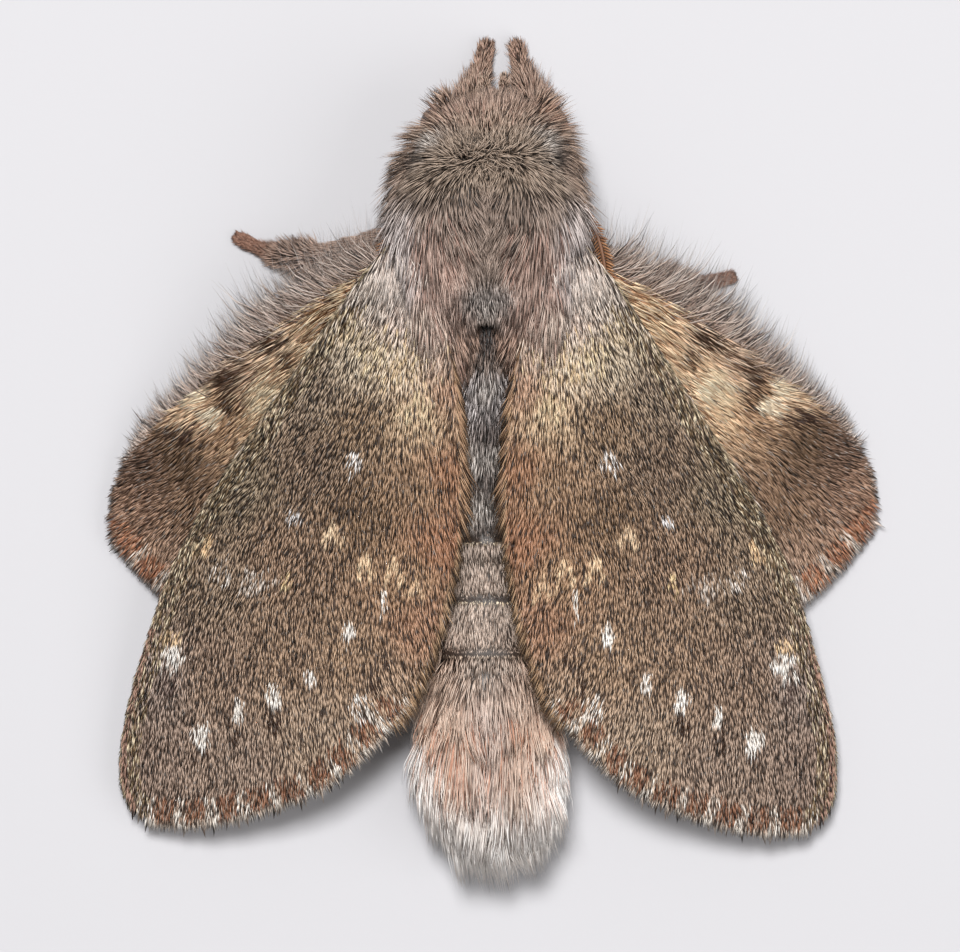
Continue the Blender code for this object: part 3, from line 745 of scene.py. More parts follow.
# --- Eyes -------------------------------------------------------------------------------------
# Compound eyes: dark brown glossy domes of tiny hexagonal lenses, set deep in the head's fur.
# The lenses are drawn coarser than the real ones, which are about 0.025 mm across.
eye_chitin, tree = new_material("eye_lenses")
lens = add_node(tree, "ShaderNodeTexVoronoi", [("Scale", 1 / (0.09 * MM))],
                [("Vector", add_node(tree, "ShaderNodeTexCoord").outputs["Object"])])
relief = add_node(tree, "ShaderNodeBump", [("Strength", 0.5), ("Distance", 0.02 * MM), ("invert", True)],
                  [("Height", lens.outputs["Distance"])])
glow = add_node(tree, "ShaderNodeMix", [("data_type", "RGBA"), (6, (*linear("#150c09"), 1)),
                (7, (*linear("#2e1b12"), 1))], [(0, lens.outputs["Distance"])])
shader = add_node(tree, "ShaderNodeBsdfPrincipled",
                  [("Roughness", 0.3), ("IOR", 1.56), ("Specular IOR Level", 0.35)],
                  [("Base Color", glow.outputs[2]), ("Normal", relief.outputs["Normal"])])
finish_material(tree, shader)
for side, place in EYES.items():
    bpy.ops.mesh.primitive_ico_sphere_add(subdivisions=5, radius=EYE_RADIUS * MM,
                                          location=[c * MM for c in place])
    eye = bpy.context.object
    eye.name = "eye_dome_" + side
    bpy.ops.object.transform_apply()
    bpy.ops.object.shade_smooth()
    eye.data.materials.append(eye_chitin)
    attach(eye, "root")
    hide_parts("eye_" + side)

# --- Forewings --------------------------------------------------------------------------------
# Stiff membranes folded back like a roof, tiled with thousands of flat scales in overlapping
# rows, and edged with a fringe. Each wing has a shell of membrane, a top coat and an under coat.
MEMBRANE = 0.14
FORE_COSTA = [(4.15, -9.3), (5.7, -7.2), (8.1, -3.6), (10.7, 0.4), (12.8, 4.2), (14.05, 7.9),
              (14.9, 11.4), (14.95, 13.6), (14.5, 14.75)]
FORE_INNER = [(2.4, -8.3), (1.5, -5.2), (1.1, -1.5), (1.05, 2.4), (1.6, 6.0), (2.8, 9.3),
              (4.4, 11.5), (6.3, 13.3), (8.9, 14.5), (11.6, 15.2), (13.9, 15.2)]
# guide scales: place on the wing, lie, length, shade
FORE_SCALES = [
    ((3.6, -8.4), (0.15, 1), 1.2, "#b5a398"), ((5.0, -7.6), (0.4, 0.92), 0.8, "#ad9d90"),
    ((3.0, -6.5), (0.1, 1), 1.0, "#bca598"), ((2.2, -5.0), (0, 1), 0.9, "#b59a88"),
    ((1.5, -3.5), (-0.1, 1), 0.9, "#96735d"), ((3.5, -4.4), (0.1, 1), 0.7, "#bea78e"),
    ((5.2, -4.8), (0.3, 0.95), 0.7, "#a3917b"), ((2.6, -2.4), (0.0, 1), 0.8, "#a98d70"),
    ((1.4, 0.0), (-0.18, 1), 0.9, "#876149"), ((1.5, 3.0), (-0.18, 1), 0.9, "#835c45"),
    ((2.6, 0.5), (-0.05, 1), 0.7, "#7d634d"), ((5.0, -2.0), (0.2, 0.97), 0.6, "#765f4a"),
    ((7.0, -3.4), (0.4, 0.9), 0.6, "#7c6a59"), ((7.0, 0.0), (0.35, 0.93), 0.6, "#6e5a4a"),
    ((5.0, 2.0), (0.12, 1), 0.6, "#715944"), ((8.0, 4.0), (0.15, 1), 0.6, "#7c6350"),
    ((10.4, 0.6), (0.5, 0.85), 0.6, "#766653"), ((11.3, 5.0), (0.25, 0.96), 0.58, "#7b6755"),
    ((3.0, 4.5), (-0.08, 1), 0.6, "#856850"), ((2.2, 6.4), (-0.18, 1), 0.75, "#896650"),
    ((5.0, 8.0), (-0.05, 1), 0.58, "#866c56"), ((8.0, 8.0), (0, 1), 0.58, "#836a56"),
    ((11.0, 9.0), (0.08, 1), 0.58, "#7f6857"), ((13.6, 9.0), (0.12, 1), 0.6, "#827065"),
    ((14.0, 13.0), (0.03, 1), 0.6, "#7c685b"), ((10.0, 13.0), (-0.03, 1), 0.6, "#857061"),
    ((6.5, 11.5), (-0.2, 1), 0.62, "#8d7764"), ((4.0, 9.6), (-0.4, 0.9), 0.65, "#917762"),
]
# markings: place, half width, half length, shade, share of the scales that take it
FORE_MARKS = [
    ((13.1, 8.65), 0.42, 0.62, "#ddd3c8", 0.9), ((13.15, 7.8), 0.4, 0.35, "#c8a681", 0.7),
    ((11.8, 11.85), 0.34, 0.6, "#ddd3c8", 0.9), ((10.25, 10.85), 0.25, 0.45, "#ddd3c8", 0.95),
    ((8.7, 10.1), 0.25, 0.5, "#ddd3c8", 0.9), ((7.15, 9.2), 0.26, 0.42, "#d6ccc2", 0.8),
    ((5.6, 7.35), 0.26, 0.42, "#ddd3c8", 0.9), ((5.0, 10.4), 0.4, 0.6, "#d8cfc6", 0.5),
    ((4.15, 5.9), 0.16, 0.5, "#ddd3c8", 0.5), ((5.5, 0.0), 0.28, 0.45, "#d8d0ca", 0.4),
    ((8.0, 2.5), 0.3, 0.3, "#d6d0ce", 0.6), ((12.3, 3.8), 0.2, 0.42, "#c8a37c", 0.9),
    ((11.75, 3.8), 0.18, 0.45, "#c8a37c", 0.9), ((11.0, 4.9), 0.4, 0.5, "#ccbfb4", 0.35),
    ((9.6, 5.3), 0.9, 0.5, "#b5a79b", 0.35), ((8.3, 5.2), 0.2, 0.5, "#c9ab80", 0.6),
    ((3.5, -4.2), 1.3, 1.1, "#c8ab86", 0.3), ((5.9, -5.6), 0.6, 0.7, "#bda585", 0.45),
    ((4.9, -4.4), 0.7, 0.6, "#c9b08c", 0.4), ((2.8, -2.2), 0.6, 0.5, "#bfa785", 0.5),
    ((10.35, 11.75), 0.3, 0.4, "#2e1c10", 0.5), ((8.75, 11.1), 0.3, 0.4, "#2e1c10", 0.5),
    ((13.1, 9.7), 0.4, 0.4, "#4a3b35", 0.5), ((11.9, 12.6), 0.3, 0.4, "#3a281d", 0.4),
    ((4.4, 9.4), 0.25, 0.45, "#3a2a20", 0.7), ((3.9, 8.3), 0.22, 0.4, "#3a2a20", 0.6),
]
FORE_PEAKS = [((6.4, 2.8), "#bfa182", 0.8), ((4.95, 4.1), "#c8a785", 1.0), ((3.7, 4.35), "#c8a785", 1.0),
              ((2.75, 5.0), "#bd9b7b", 0.9)]
# how much nearer to the body the markings sit than their drawn places
FORE_MARK_SHIFT = {"left": 0.2, "right": 0.33}
VEIN_GAP = 1.42            # spacing of the pale gaps between the dark dashes of the margin
# fringes: edge (0 front, 1 rear), from and to as shares of it, rows, spacing, length, how far the
# hair leans out, how far it droops, its shade and the shade of its tips
FORE_HEMS = [(1, 0.585, 1.0, 4, 0.03, 0.75, 0.7, 0.1, "#75503c", "#c6b6a6"),
             (1, 0.04, 0.62, 6, 0.035, 1.2, 0.10, 0.2, "#80644c", "#98795c"),
             (1, 0.12, 0.32, 4, 0.035, 1.8, 0.15, 0.3, "#7a5c46", "#957459"),
             (0, 0.0, 1.0, 4, 0.03, 0.5, 0.25, 0.1, "#6a5844", "#9a8b70")]
FORE_SCALE_COUNT = 28500
FORE_UNDER_COUNT = 5000
ROOT_HAIR_COUNT = 1500


def sampled(at, marks, rows):
    """Rows of numbers that are known at the marks, read off between them."""
    return np.stack([np.interp(at, marks, axis) for axis in np.transpose(rows)], 1)


def smooth_path(points, steps):
    """A smooth curve through the points, stepped evenly along its length."""
    points = np.array(points, float)
    padded = np.vstack([2 * points[0] - points[1], points, 2 * points[-1] - points[-2]])
    spot = np.linspace(0, len(points) - 1, 40 * len(points))
    i = np.minimum(spot.astype(int), len(points) - 2)
    t = (spot - i)[:, None]
    a, b, c, d = (padded[i + k] for k in range(4))
    dense = b + 0.5 * t * (c - a + t * (2 * a - 5 * b + 4 * c - d + t * (3 * (b - c) + d - a)))
    run = np.concatenate([[0], np.cumsum(np.linalg.norm(np.diff(dense, axis=0), axis=1))])
    return sampled(np.linspace(0, run[-1], steps), run, dense)


def forewing_height(place):
    """Height of the forewing above the floor: a roof that falls away to the side and rear."""
    out = np.abs(place[:, 0]) - 1.5
    return 6.3 - 0.03 * (place[:, 1] + 8.0) - 0.27 * out - 0.004 * out ** 2


def on_blade(wing, u, v):
    """The place on the flat wing that lies u along it and v from its front to its rear edge."""
    front, rear = (sampled(u, np.linspace(0, 1, len(edge)), edge) for edge in wing["edges"])
    return front * (1 - v)[:, None] + rear * v[:, None]


def place_wing(wing, side, flat):
    """Flat wing places, in millimetres, turned, mirrored and lifted to where the wing lies."""
    place = turned(flat, side, wing["turn"][side], wing["hinge"])
    return np.column_stack([place, wing["height"](place)])


def to_wing(wing, side, lie):
    """A direction on the flat wing, turned and mirrored with it."""
    return np.column_stack([turned(lie, side, wing["turn"][side], (0, 0)), np.zeros(len(lie))])


def membrane_of(wing, side):
    """The thin shell that the scales stand on: top on one half of its map, underside on the other."""
    bpy.ops.mesh.primitive_grid_add(x_subdivisions=80, y_subdivisions=36, size=1)
    piece = bpy.context.object
    piece.name = f"{wing['name']}_membrane_{side}"
    spot = vertices_of(piece.data)[:, :2] + 0.5
    place = place_wing(wing, side, on_blade(wing, spot[:, 0], spot[:, 1]))
    piece.data.vertices.foreach_set("co", (place * MM).ravel())
    apply_modifier(piece, "SOLIDIFY", thickness=MEMBRANE * MM, offset=0)
    layer = piece.data.uv_layers[0]
    layer.name = "OFBake"
    for face in piece.data.polygons:
        for corner in face.loop_indices:
            layer.data[corner].uv.x *= 0.5
            if face.normal.z < 0:
                layer.data[corner].uv.x += 0.5
    piece.data.shade_smooth()
    return piece


def guided(wing, flat):
    """Blend the guide scales round each place on the wing: lie, length and linear colour."""
    guides = wing["guides"]
    place = np.array([g[0] for g in guides])
    share = (((flat[:, None] - place[None]) ** 2).sum(2) + 0.5) ** -2.0
    share /= share.sum(1, keepdims=True)
    lie = share @ unit(np.array([g[1] for g in guides], float))
    return lie, share @ np.array([g[2] for g in guides]), share @ np.array([linear(g[3]) for g in guides])


def strew_wing(wing, shell, count, seed, weigh):
    """Roots on one face of a wing: what strew gives, and their places on the flat wing."""
    root, normal, unwrap = strew(shell, count, seed, weigh)
    unwrap[:, 0] = unwrap[:, 0] * 2 % 1
    return root, normal, unwrap, on_blade(wing, unwrap[:, 0], unwrap[:, 1])


def top_side(place, normal):
    """Roots only where the skin faces up."""
    return np.where(normal[:, 2] > 0.3, 1.0, 0.0)


def under_side(place, normal):
    """Roots only where the skin faces down."""
    return np.where(normal[:, 2] < -0.3, 1.0, 0.0)


def chevrons(peaks):
    """Arrow-shaped marks, each made of a peak and two legs that run back from it."""
    marks = []
    for (x, y), shade, share in peaks:
        for across, back in ((0, 0), (0.16, 0.3), (-0.16, 0.3), (0.3, 0.65), (-0.3, 0.65)):
            marks.append(((x + across, y + back), 0.14, 0.26, shade, share))
    return marks


def mark(colour, flat, marks, seed):
    """Give a share of the scales inside each marking its shade, and tell which scales took one."""
    chance = np.random.default_rng(seed).random(len(flat))
    rough = mottle(flat, 0.35, seed) - 0.5
    marked = np.zeros(len(flat), bool)
    for place, half_width, half_length, shade, share in marks:
        away = np.hypot((flat[:, 0] - place[0]) / half_width, (flat[:, 1] - place[1]) / half_length)
        take = chance < share * np.clip((1.35 - away + rough) / 0.6, 0, 1)
        colour[take] = linear(shade)
        marked |= take
    return marked


def along_edge(flat, edge):
    """Distance to a wing's edge and how far along that edge the nearest point lies."""
    gaps = np.empty(len(flat))
    spots = np.empty(len(flat))
    step = np.linalg.norm(edge[1] - edge[0])
    for part in np.array_split(np.arange(len(flat)), max(1, len(flat) // 4000)):
        away = np.linalg.norm(flat[part][:, None] - edge[None], axis=2)
        spots[part] = away.argmin(1) * step
        gaps[part] = away.min(1)
    return gaps, spots


def vein_nearness(spot):
    """How near a place along the hem is to a vein's pale gap: 0.5 on it, and 0 midway between two."""
    return np.abs((spot / VEIN_GAP) % 1 - 0.5)


def dash_hem(colour, hem, spot, chance, dark, pale):
    """Colour a hem in dark dashes and pale gaps, each with its shade and its share of the scales."""
    dash = vein_nearness(spot) < 0.34
    for part, (shade, share) in ((dash, dark), (~dash, pale)):
        colour[hem & part & (chance < share)] = linear(shade)


def under_coat(wing, side, shell, count, pale_share, seeds):
    """Broad, plain scales on the underside of a wing, paler than those on top."""
    root, normal, unwrap, flat = strew_wing(wing, shell, count, seeds[0], under_side)
    lie, length, colour = guided(wing, flat)
    return coat(f"{wing['name']}_underside_{side}", root, normal, unwrap, to_wing(wing, side, lie),
                np.full(len(root), 0.95), width=0.17, rise=0.08, droop=0.04,
                colour=blended(colour, "#a89a90", pale_share), seed=seeds[1], depth=0.2, sink=0.01)


def wing_hair(wing, side, u, v, level, lie, **looks):
    """Hair on a wing, rooted u along it, v across it and level above its middle."""
    place = place_wing(wing, side, on_blade(wing, u, v))
    place[:, 2] += level
    slope, tilt = wing["slope"]
    normal = unit(np.tile([slope * SIDES[side], tilt, 1.0], (len(u), 1)))
    return coat("fringe", place, normal, np.column_stack([u, v]), to_wing(wing, side, lie), **looks)


def hem_hair(wing, side, k, look):
    """The k-th band of a wing's fringe: rows of hair one above another that lean out from its edge."""
    edge, start, stop, rows, spacing, length, stand, droop, shade, end_shade = wing["hems"][k]
    random = np.random.default_rng(look["roots"] + k)
    run = np.linalg.norm(np.diff(wing["edges"][edge], axis=0), axis=1).sum()
    count = int(run * (stop - start) / spacing)
    u = np.tile(np.linspace(start, stop, count), rows) + random.normal(0, 0.3 * spacing / run, count * rows)
    u = u.clip(0, 1)
    v = np.full(count * rows, float(edge)) + random.uniform(0.0, 0.03, count * rows) * (1 - 2 * edge)
    level = np.repeat(np.linspace(-0.5, 0.5, rows), count) * MEMBRANE
    flat = on_blade(wing, u, v)
    ahead = on_blade(wing, (u + 0.01).clip(0, 1), v) - on_blade(wing, (u - 0.01).clip(0, 1), v)
    outward = unit(np.column_stack([-ahead[:, 1], ahead[:, 0]])) * (1 if edge else -1)
    lie = unit(guided(wing, flat)[0] * (1 - stand) + outward * stand)
    colour = np.tile(linear(shade), (len(u), 1))
    if k == 0:
        colour[vein_nearness(along_edge(flat, wing["edges"][1])[1]) > 0.36] = linear(look["gap"])
    return wing_hair(wing, side, u, v, level, lie, length=np.full(len(u), length), width=look["width"],
                     rise=look["rise"], droop=droop, colour=colour, seed=look["slivers"] + k,
                     rings=look["rings"], tip=blended(colour, end_shade, look["bleach"]))


def bare_chitin(name, dark, light, grain_mm, rough, detail=2.0, relief=0.0):
    """Bare horn-brown chitin, as on wing membrane and claws: mottled, with a dull or hard shine."""
    material, tree = new_material(name)
    grain = add_node(tree, "ShaderNodeTexNoise", [("Scale", 1 / (grain_mm * MM)), ("Detail", detail)],
                     [("Vector", add_node(tree, "ShaderNodeTexCoord").outputs["Object"])])
    tint = add_node(tree, "ShaderNodeMix", [("data_type", "RGBA"), (6, (*linear(dark), 1)),
                    (7, (*linear(light), 1))], [(0, grain.outputs["Fac"])])
    shader = add_node(tree, "ShaderNodeBsdfPrincipled", [("Roughness", rough), ("IOR", 1.56)],
                      [("Base Color", tint.outputs[2])])
    if relief:
        bump = add_node(tree, "ShaderNodeBump", [("Strength", relief), ("Distance", 0.03 * MM)],
                        [("Height", grain.outputs["Fac"])])
        tree.links.new(bump.outputs["Normal"], shader.inputs["Normal"])
    finish_material(tree, shader)
    return material


# the wing scales carry the painted highlights: near-white tips on a few of them
wing_scales = hair_material("wing_scales", 1.1, 0.08, 2.3, painted_glint=1.0)
wing_cuticle = bare_chitin("wing_cuticle", "#2a1b12", "#4a3527", 0.3, 0.5, detail=3.0, relief=0.3)

# a wing: its hinge and turn there, its height, the slope of its normal out and back, and its edges
FOREWING = {"name": "forewing", "hinge": (3.2, -9.0), "turn": {"left": 1.6, "right": -0.4},
            "height": forewing_height, "slope": (0.27, 0.03), "guides": FORE_SCALES, "hems": FORE_HEMS,
            "edges": [smooth_path(edge, 240) for edge in (FORE_COSTA, FORE_INNER)]}
# the fringe: seeds for its roots and its slivers, their width, rise and rings, and its pale shades
FORE_HAIR = {"roots": 50, "slivers": 60, "width": 0.045, "rise": 0.06, "rings": 1,
             "gap": "#cbbcae", "bleach": 1.0}
for side in SIDES:
    shell = membrane_of(FOREWING, side)

    seed = 31 if side == "left" else 32
    root, normal, unwrap, flat = strew_wing(FOREWING, shell, FORE_SCALE_COUNT, seed, top_side)
    lie, length, colour = guided(FOREWING, flat)
    chance = np.random.default_rng(5).random(len(flat))
    rear_gap, rear_spot = along_edge(flat, FOREWING["edges"][1])
    front_gap = along_edge(flat, FOREWING["edges"][0])[0]
    seen = flat + unit(lie) * length[:, None] * 0.6 + (FORE_MARK_SHIFT[side], 0)
    marked = mark(colour, seen, FORE_MARKS + chevrons(FORE_PEAKS), 6)
    hem = (rear_gap < 0.95) & (flat[:, 1] > 9.6)
    dash_hem(colour, hem, rear_spot, chance, ("#6c4936", 0.65), ("#cdbfb1", 0.5))
    costal = (front_gap < 0.8) & (flat[:, 1] > -7)
    colour[costal & (chance < 0.35)] = linear("#54432f")
    colour[costal & (chance > 0.7)] = linear("#ab987c")
    colour[(front_gap < 0.22) & (flat[:, 1] > 7)] = linear("#806254")
    scales = coat("forewing_scales_" + side, root, normal, unwrap, to_wing(FOREWING, side, lie), length,
                  width=0.058, rise=0.2, droop=0.1, colour=colour, seed=40, sink=0.01, sway=0.09,
                  wave=0.2, even=marked | hem & (chance < 0.15))
    under = under_coat(FOREWING, side, shell, FORE_UNDER_COUNT, 0.5, (33, 41))

    bands = [hem_hair(FOREWING, side, k, FORE_HAIR) for k in range(len(FORE_HEMS))]
    # long hair over the wing's root, which the fur of the thorax runs into
    random = np.random.default_rng(49)
    u, v = random.uniform(0.0, 0.05, ROOT_HAIR_COUNT), random.uniform(0.0, 1.0, ROOT_HAIR_COUNT)
    lie, length, colour = guided(FOREWING, on_blade(FOREWING, u, v))
    bands.append(wing_hair(FOREWING, side, u, v, 0.0, lie, length=length * 1.6, width=0.05, rise=0.16,
                           droop=0.14, colour=colour, seed=66))
    hair = join("forewing_fringe_" + side, bands)

    for piece in (shell, scales, under, hair):
        piece.data.materials.append(wing_cuticle if piece == shell else wing_scales)
        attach(piece, "root")
    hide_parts("forewing_" + side)

# --- Hindwings --------------------------------------------------------------------------------
# Smaller, softer wings of the same make, which show from under the forewings. A brush of long hair
# grows along the front edge, where nothing covers it.
HIND_COSTA = [(3.2, -8.9), (5.2, -8.1), (8.5, -6.2), (11.3, -4.0), (14.1, -1.8), (15.55, 0.2),
              (15.95, 1.5)]
HIND_INNER = [(3.3, -7.6), (3.4, -3.5), (3.8, 0.8), (5.7, 5.0), (9.3, 6.7), (12.3, 6.1), (14.6, 4.2),
              (15.9, 2.6)]
HIND_SCALES = [
    ((4.5, -8.2), (0.85, 0.45), 1.2, "#e2ae86"), ((6.5, -7.0), (0.82, 0.5), 1.2, "#dcab84"),
    ((8.5, -5.9), (0.8, 0.5), 1.3, "#cca183"), ((6.0, -6.0), (0.78, 0.55), 1.1, "#d4a47d"),
    ((8.0, -4.6), (0.72, 0.62), 1.0, "#c89f7c"), ((10.0, -4.7), (0.85, 0.35), 1.3, "#b6937a"),
    ((9.4, -2.9), (0.7, 0.7), 0.9, "#cfa47f"), ((12.2, -3.0), (0.9, 0.3), 1.0, "#cfa684"),
    ((11.0, -2.7), (0.75, 0.6), 0.8, "#8c6b51"), ((13.0, -1.0), (0.75, 0.6), 0.75, "#54402f"),
    ((14.4, -0.6), (0.9, 0.3), 0.75, "#584336"), ((12.0, 1.5), (0.6, 0.8), 0.7, "#6f5643"),
    ((15.0, 1.5), (0.8, 0.55), 0.65, "#7d604e"), ((14.0, 3.8), (0.45, 0.9), 0.65, "#8c6f5c"),
    ((11.5, 5.2), (0.2, 1), 0.65, "#836d5e"), ((9.0, 2.0), (0.5, 0.85), 0.8, "#866f5b"),
    ((8.0, 6.0), (0.1, 1), 0.7, "#97877c"), ((5.0, 0.0), (0.3, 0.95), 0.8, "#97877c"),
]
HIND_MARKS = [
    ((9.4, -3.1), 0.8, 0.75, "#e9c7a1", 0.9), ((9.6, -2.2), 0.45, 0.45, "#e3bd97", 0.8),
    ((12.6, -3.2), 0.6, 0.5, "#eacaa6", 0.95), ((11.8, -2.2), 0.5, 0.35, "#e6c9a8", 0.9),
    ((11.0, -3.3), 0.45, 0.9, "#3e2a1c", 0.7), ((9.2, -5.3), 0.55, 0.4, "#3a271a", 0.75),
    ((8.4, -4.4), 0.4, 0.5, "#4a3424", 0.5), ((10.3, -4.4), 0.3, 0.6, "#4a3424", 0.45),
    ((6.4, -6.4), 0.9, 0.5, "#5a3b20", 0.3), ((13.3, -1.6), 0.7, 0.35, "#33221a", 0.6),
]
HIND_HEMS = [(1, 0.50, 1.0, 4, 0.03, 0.75, 0.5, 0.05, "#7f5f50", "#b8a698"),
             (0, 0.80, 1.0, 3, 0.03, 0.6, 0.5, 0.05, "#6b4e3f", "#b8a698")]
# the costal brush, at five places along the front edge: lie, bend and length of its hair
BRUSH_STEPS = (0.0, 0.35, 0.6, 0.8, 1.0)
BRUSH_LIE = [(0.9, 0.25), (0.93, 0.2), (0.95, 0.15), (0.95, 0.15), (0.9, 0.4)]
BRUSH_BEND = [(-1.0, -2.7), (-0.9, -2.7), (-0.5, -2.0), (-0.2, -0.8), (0.0, 0.0)]
BRUSH_LENGTH = (3.7, 3.7, 2.1, 1.3, 0.9)
BRUSH_COUNT = 3000
HIND_SCALE_COUNT = 18000
HIND_UNDER_COUNT = 4000


def hindwing_height(place):
    """Height of the hindwing above the floor, below the forewing."""
    out = np.abs(place[:, 0]) - 4.0
    return 4.0 - 0.36 * out + 0.006 * out ** 2


def outer_side(place, normal):
    """The top of the hindwing, with few scales where the forewing covers it."""
    shown = np.abs(place[:, 0]) - 4.5 - 0.62 * (place[:, 1] + 9.0) > -1.5
    return top_side(place, normal) * np.where(shown, 1.0, 0.15)


HINDWING = {"name": "hindwing", "hinge": (3.6, -8.0), "turn": {"left": -1.4, "right": 1.7},
            "height": hindwing_height, "slope": (0.36, 0.0), "guides": HIND_SCALES, "hems": HIND_HEMS,
            "edges": [smooth_path(edge, 200) for edge in (HIND_COSTA, HIND_INNER)]}
HIND_HAIR = {"roots": 84, "slivers": 86, "width": 0.055, "rise": 0.05, "rings": 2,
             "gap": "#c2b3a8", "bleach": 0.5}
for side in SIDES:
    shell = membrane_of(HINDWING, side)

    seed = 71 if side == "left" else 72
    root, normal, unwrap, flat = strew_wing(HINDWING, shell, HIND_SCALE_COUNT, seed, outer_side)
    lie, length, colour = guided(HINDWING, flat)
    chance = np.random.default_rng(7).random(len(flat))
    rear_gap, rear_spot = along_edge(flat, HINDWING["edges"][1])
    marked = mark(colour, flat + unit(lie) * length[:, None] * 0.75, HIND_MARKS, 8)
    hem = (rear_gap < 0.9) & (flat[:, 0] > 8)
    dash_hem(colour, hem, rear_spot, chance, ("#86573f", 0.7), ("#b5a598", 0.6))
    scales = coat("hindwing_scales_" + side, root, normal, unwrap, to_wing(HINDWING, side, lie),
                  length * 1.25, width=0.056, rise=0.2, droop=0.1, colour=colour, seed=42, sink=0.01,
                  sway=0.09, wave=0.25, even=marked)
    under = under_coat(HINDWING, side, shell, HIND_UNDER_COUNT, 0.6, (73, 43))

    # the costal brush starts along the wing's edge and bends outwards
    random = np.random.default_rng(80)
    u = random.uniform(0.04, 0.88, BRUSH_COUNT)
    v = random.uniform(0.0, 0.12, BRUSH_COUNT) * (1.1 - u)
    level = random.uniform(-0.3, 1.0, BRUSH_COUNT) * MEMBRANE
    lie = sampled(u, BRUSH_STEPS, BRUSH_LIE)
    length = np.interp(u, BRUSH_STEPS, BRUSH_LENGTH) * random.uniform(0.45, 1.1, BRUSH_COUNT)
    bend = sampled(u, BRUSH_STEPS, BRUSH_BEND) * random.uniform(0.6, 1.2, (BRUSH_COUNT, 1))
    brown = np.array([linear("#8a6a56")]) * random.uniform(0.4, 1.3, (BRUSH_COUNT, 1))
    grey = np.array([linear("#b3a59c")]) * random.uniform(0.3, 1.5, (BRUSH_COUNT, 1))
    bands = [wing_hair(HINDWING, side, u, v, level, lie, length=length, width=0.05, rise=0.16, droop=0.12,
                       colour=brown, seed=81, tip=grey, bend=to_wing(HINDWING, side, bend),
                       gather=0.3, sway=0.14, rings=2)]
    bands += [hem_hair(HINDWING, side, k, HIND_HAIR) for k in range(len(HIND_HEMS))]
    hair = join("hindwing_fringe_" + side, bands)

    for piece in (shell, scales, under, hair):
        piece.data.materials.append(wing_cuticle if piece == shell else wing_scales)
        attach(piece, "root")
    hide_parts("hindwing_" + side)

# --- Antennae ---------------------------------------------------------------------------------
# A male's feelers: a tapering shaft with a comb of fine chitin teeth on each side, laid back
# under the edge of the forewing.
ANTENNA = [(2.6, -13.2, 4.5), (3.5, -12.2, 4.4), (4.35, -10.9, 4.55), (5.15, -9.4, 4.6),
           (6.0, -6.9, 4.06), (6.85, -4.4, 3.66), (7.8, -2.0, 3.3)]
ANTENNA_TUCK = {"left": [1.0] * 7, "right": [0.1, 0.2, 0.3, 0.4, 0.75, 0.9, 0.9]}
ANTENNA_COMB = [0.20, 0.42, 0.50, 0.50, 0.48, 0.40, 0.24]
ANTENNA_ROLL = [70, 60, 30, 12, 5, 1, 0]       # degrees, the comb turns from upright to flat
ANTENNA_SHAFT = (0.09, 0.04)
ANTENNA_STEPS = 90
JOINT_SWELL = 0.012
TOOTH_SPACING = 0.14


def weld(piece):
    """Merge a tube's end caps with its wall, and shade it smooth."""
    activate(piece)
    bpy.ops.object.mode_set(mode="EDIT")
    bpy.ops.mesh.select_all(action="SELECT")
    bpy.ops.mesh.remove_doubles(threshold=1e-6)
    bpy.ops.object.mode_set(mode="OBJECT")
    piece.data.shade_smooth()


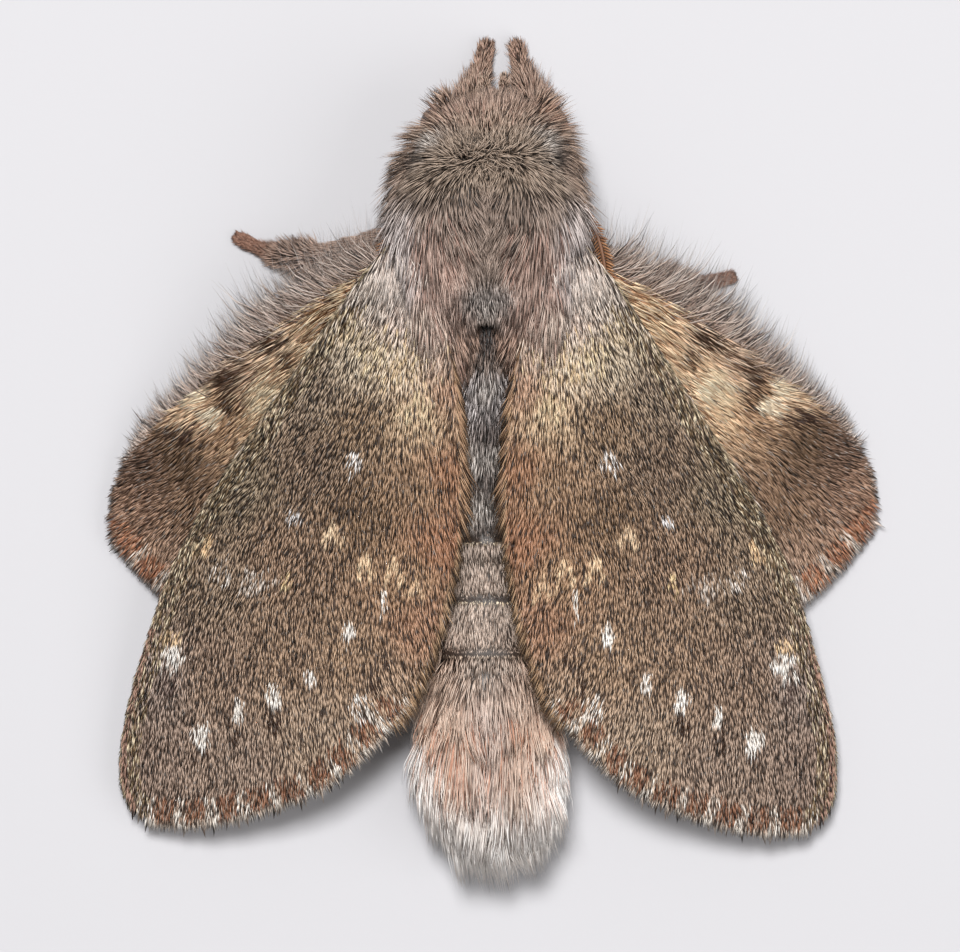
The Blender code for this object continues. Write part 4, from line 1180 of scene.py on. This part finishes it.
comb_chitin = hair_material("antenna_chitin", 1.3, 0.7, 1.3, rough=0.4, blotch_mm=0.4)
spot = np.linspace(0, 1, len(ANTENNA))
share = np.linspace(0, 1, ANTENNA_STEPS)
widths = ANTENNA_SHAFT[0] + (ANTENNA_SHAFT[1] - ANTENNA_SHAFT[0]) * share
widths += JOINT_SWELL * (np.arange(ANTENNA_STEPS) % 2)
for side in SIDES:
    flip = np.array([SIDES[side], 1.0, 1.0])
    path = smooth_path(np.array(ANTENNA) - np.outer(ANTENNA_TUCK[side], (1, 0, 0)), ANTENNA_STEPS)
    roll = np.radians(np.interp(share, spot, ANTENNA_ROLL))[:, None]
    ahead = unit(np.gradient(path, axis=0))
    level = unit(np.cross(ahead, (0, 0, 1.0)))
    blade = level * np.cos(roll) + np.cross(level, ahead) * np.sin(roll)
    face = np.cross(ahead, blade)
    shaft = tube("antenna_shaft_" + side, path * flip, widths, 3)
    weld(shaft)
    dye(shaft, np.tile(linear("#6d4c38"), (len(shaft.data.vertices), 1)), 0.5, 0.5)

    run = np.linalg.norm(np.diff(path, axis=0), axis=1).sum()
    at = np.linspace(0.03, 0.99, int(run / TOOTH_SPACING))
    length = np.interp(at, share, np.interp(share, spot, ANTENNA_COMB)) * 1.1
    rows = [(sampled(at, share, path), unit(sampled(at, share, face * way)),
             unit(sampled(at, share, blade * way * 0.85 + ahead * 0.5)), length, at) for way in (1.0, -1.0)]
    root, normal, lie, length, at = (np.concatenate([row[i] for row in rows]) for i in range(5))
    brown = np.tile(linear("#9a6b49"), (len(root), 1))
    teeth = coat("antenna_teeth_" + side, root * flip, normal * flip,
                 np.column_stack([at, (normal[:, 2] > 0)]), lie * flip, length, width=0.105, rise=0.0,
                 droop=0.10, colour=brown, seed=90, rings=2, sway=0.02, tip=brown * 0.7)
    for piece in (shaft, teeth):
        piece.data.materials.append(comb_chitin)
        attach(piece, "root")
    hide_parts("antenna_" + side)

# --- Claws ------------------------------------------------------------------------------------
# Two small dark hooks of hard, smooth chitin at the end of each foot. They spread a little apart
# and curve down until their points touch the floor.
CLAW_LENGTH = 0.28
CLAW_RADII = (0.063, 0.008)
CLAW_SPREAD = 0.45
claw_chitin = bare_chitin("claw_chitin", "#1d120c", "#3b2418", 0.05, 0.3)
claws = []
for (name, side), path in limb_paths.items():
    if name == "palp":
        continue
    heading = path[3] - path[2]
    bearing = math.atan2(heading[1], heading[0])
    for spread in (-CLAW_SPREAD, CLAW_SPREAD):
        places, widths = [], []
        for t in np.linspace(0, 1, 5):
            reach = CLAW_LENGTH * t
            drop = path[3][2] + 0.05 * math.sin(math.pi * t) - (path[3][2] - 0.03) * t ** 2
            places.append((path[3][0] + reach * math.cos(bearing + spread),
                           path[3][1] + reach * math.sin(bearing + spread), drop))
            widths.append(CLAW_RADII[0] + (CLAW_RADII[1] - CLAW_RADII[0]) * t)
        claws.append(tube("claw", places, widths, 2))
claws = join("claws", claws)
weld(claws)
claws.data.materials.append(claw_chitin)
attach(claws, "root")
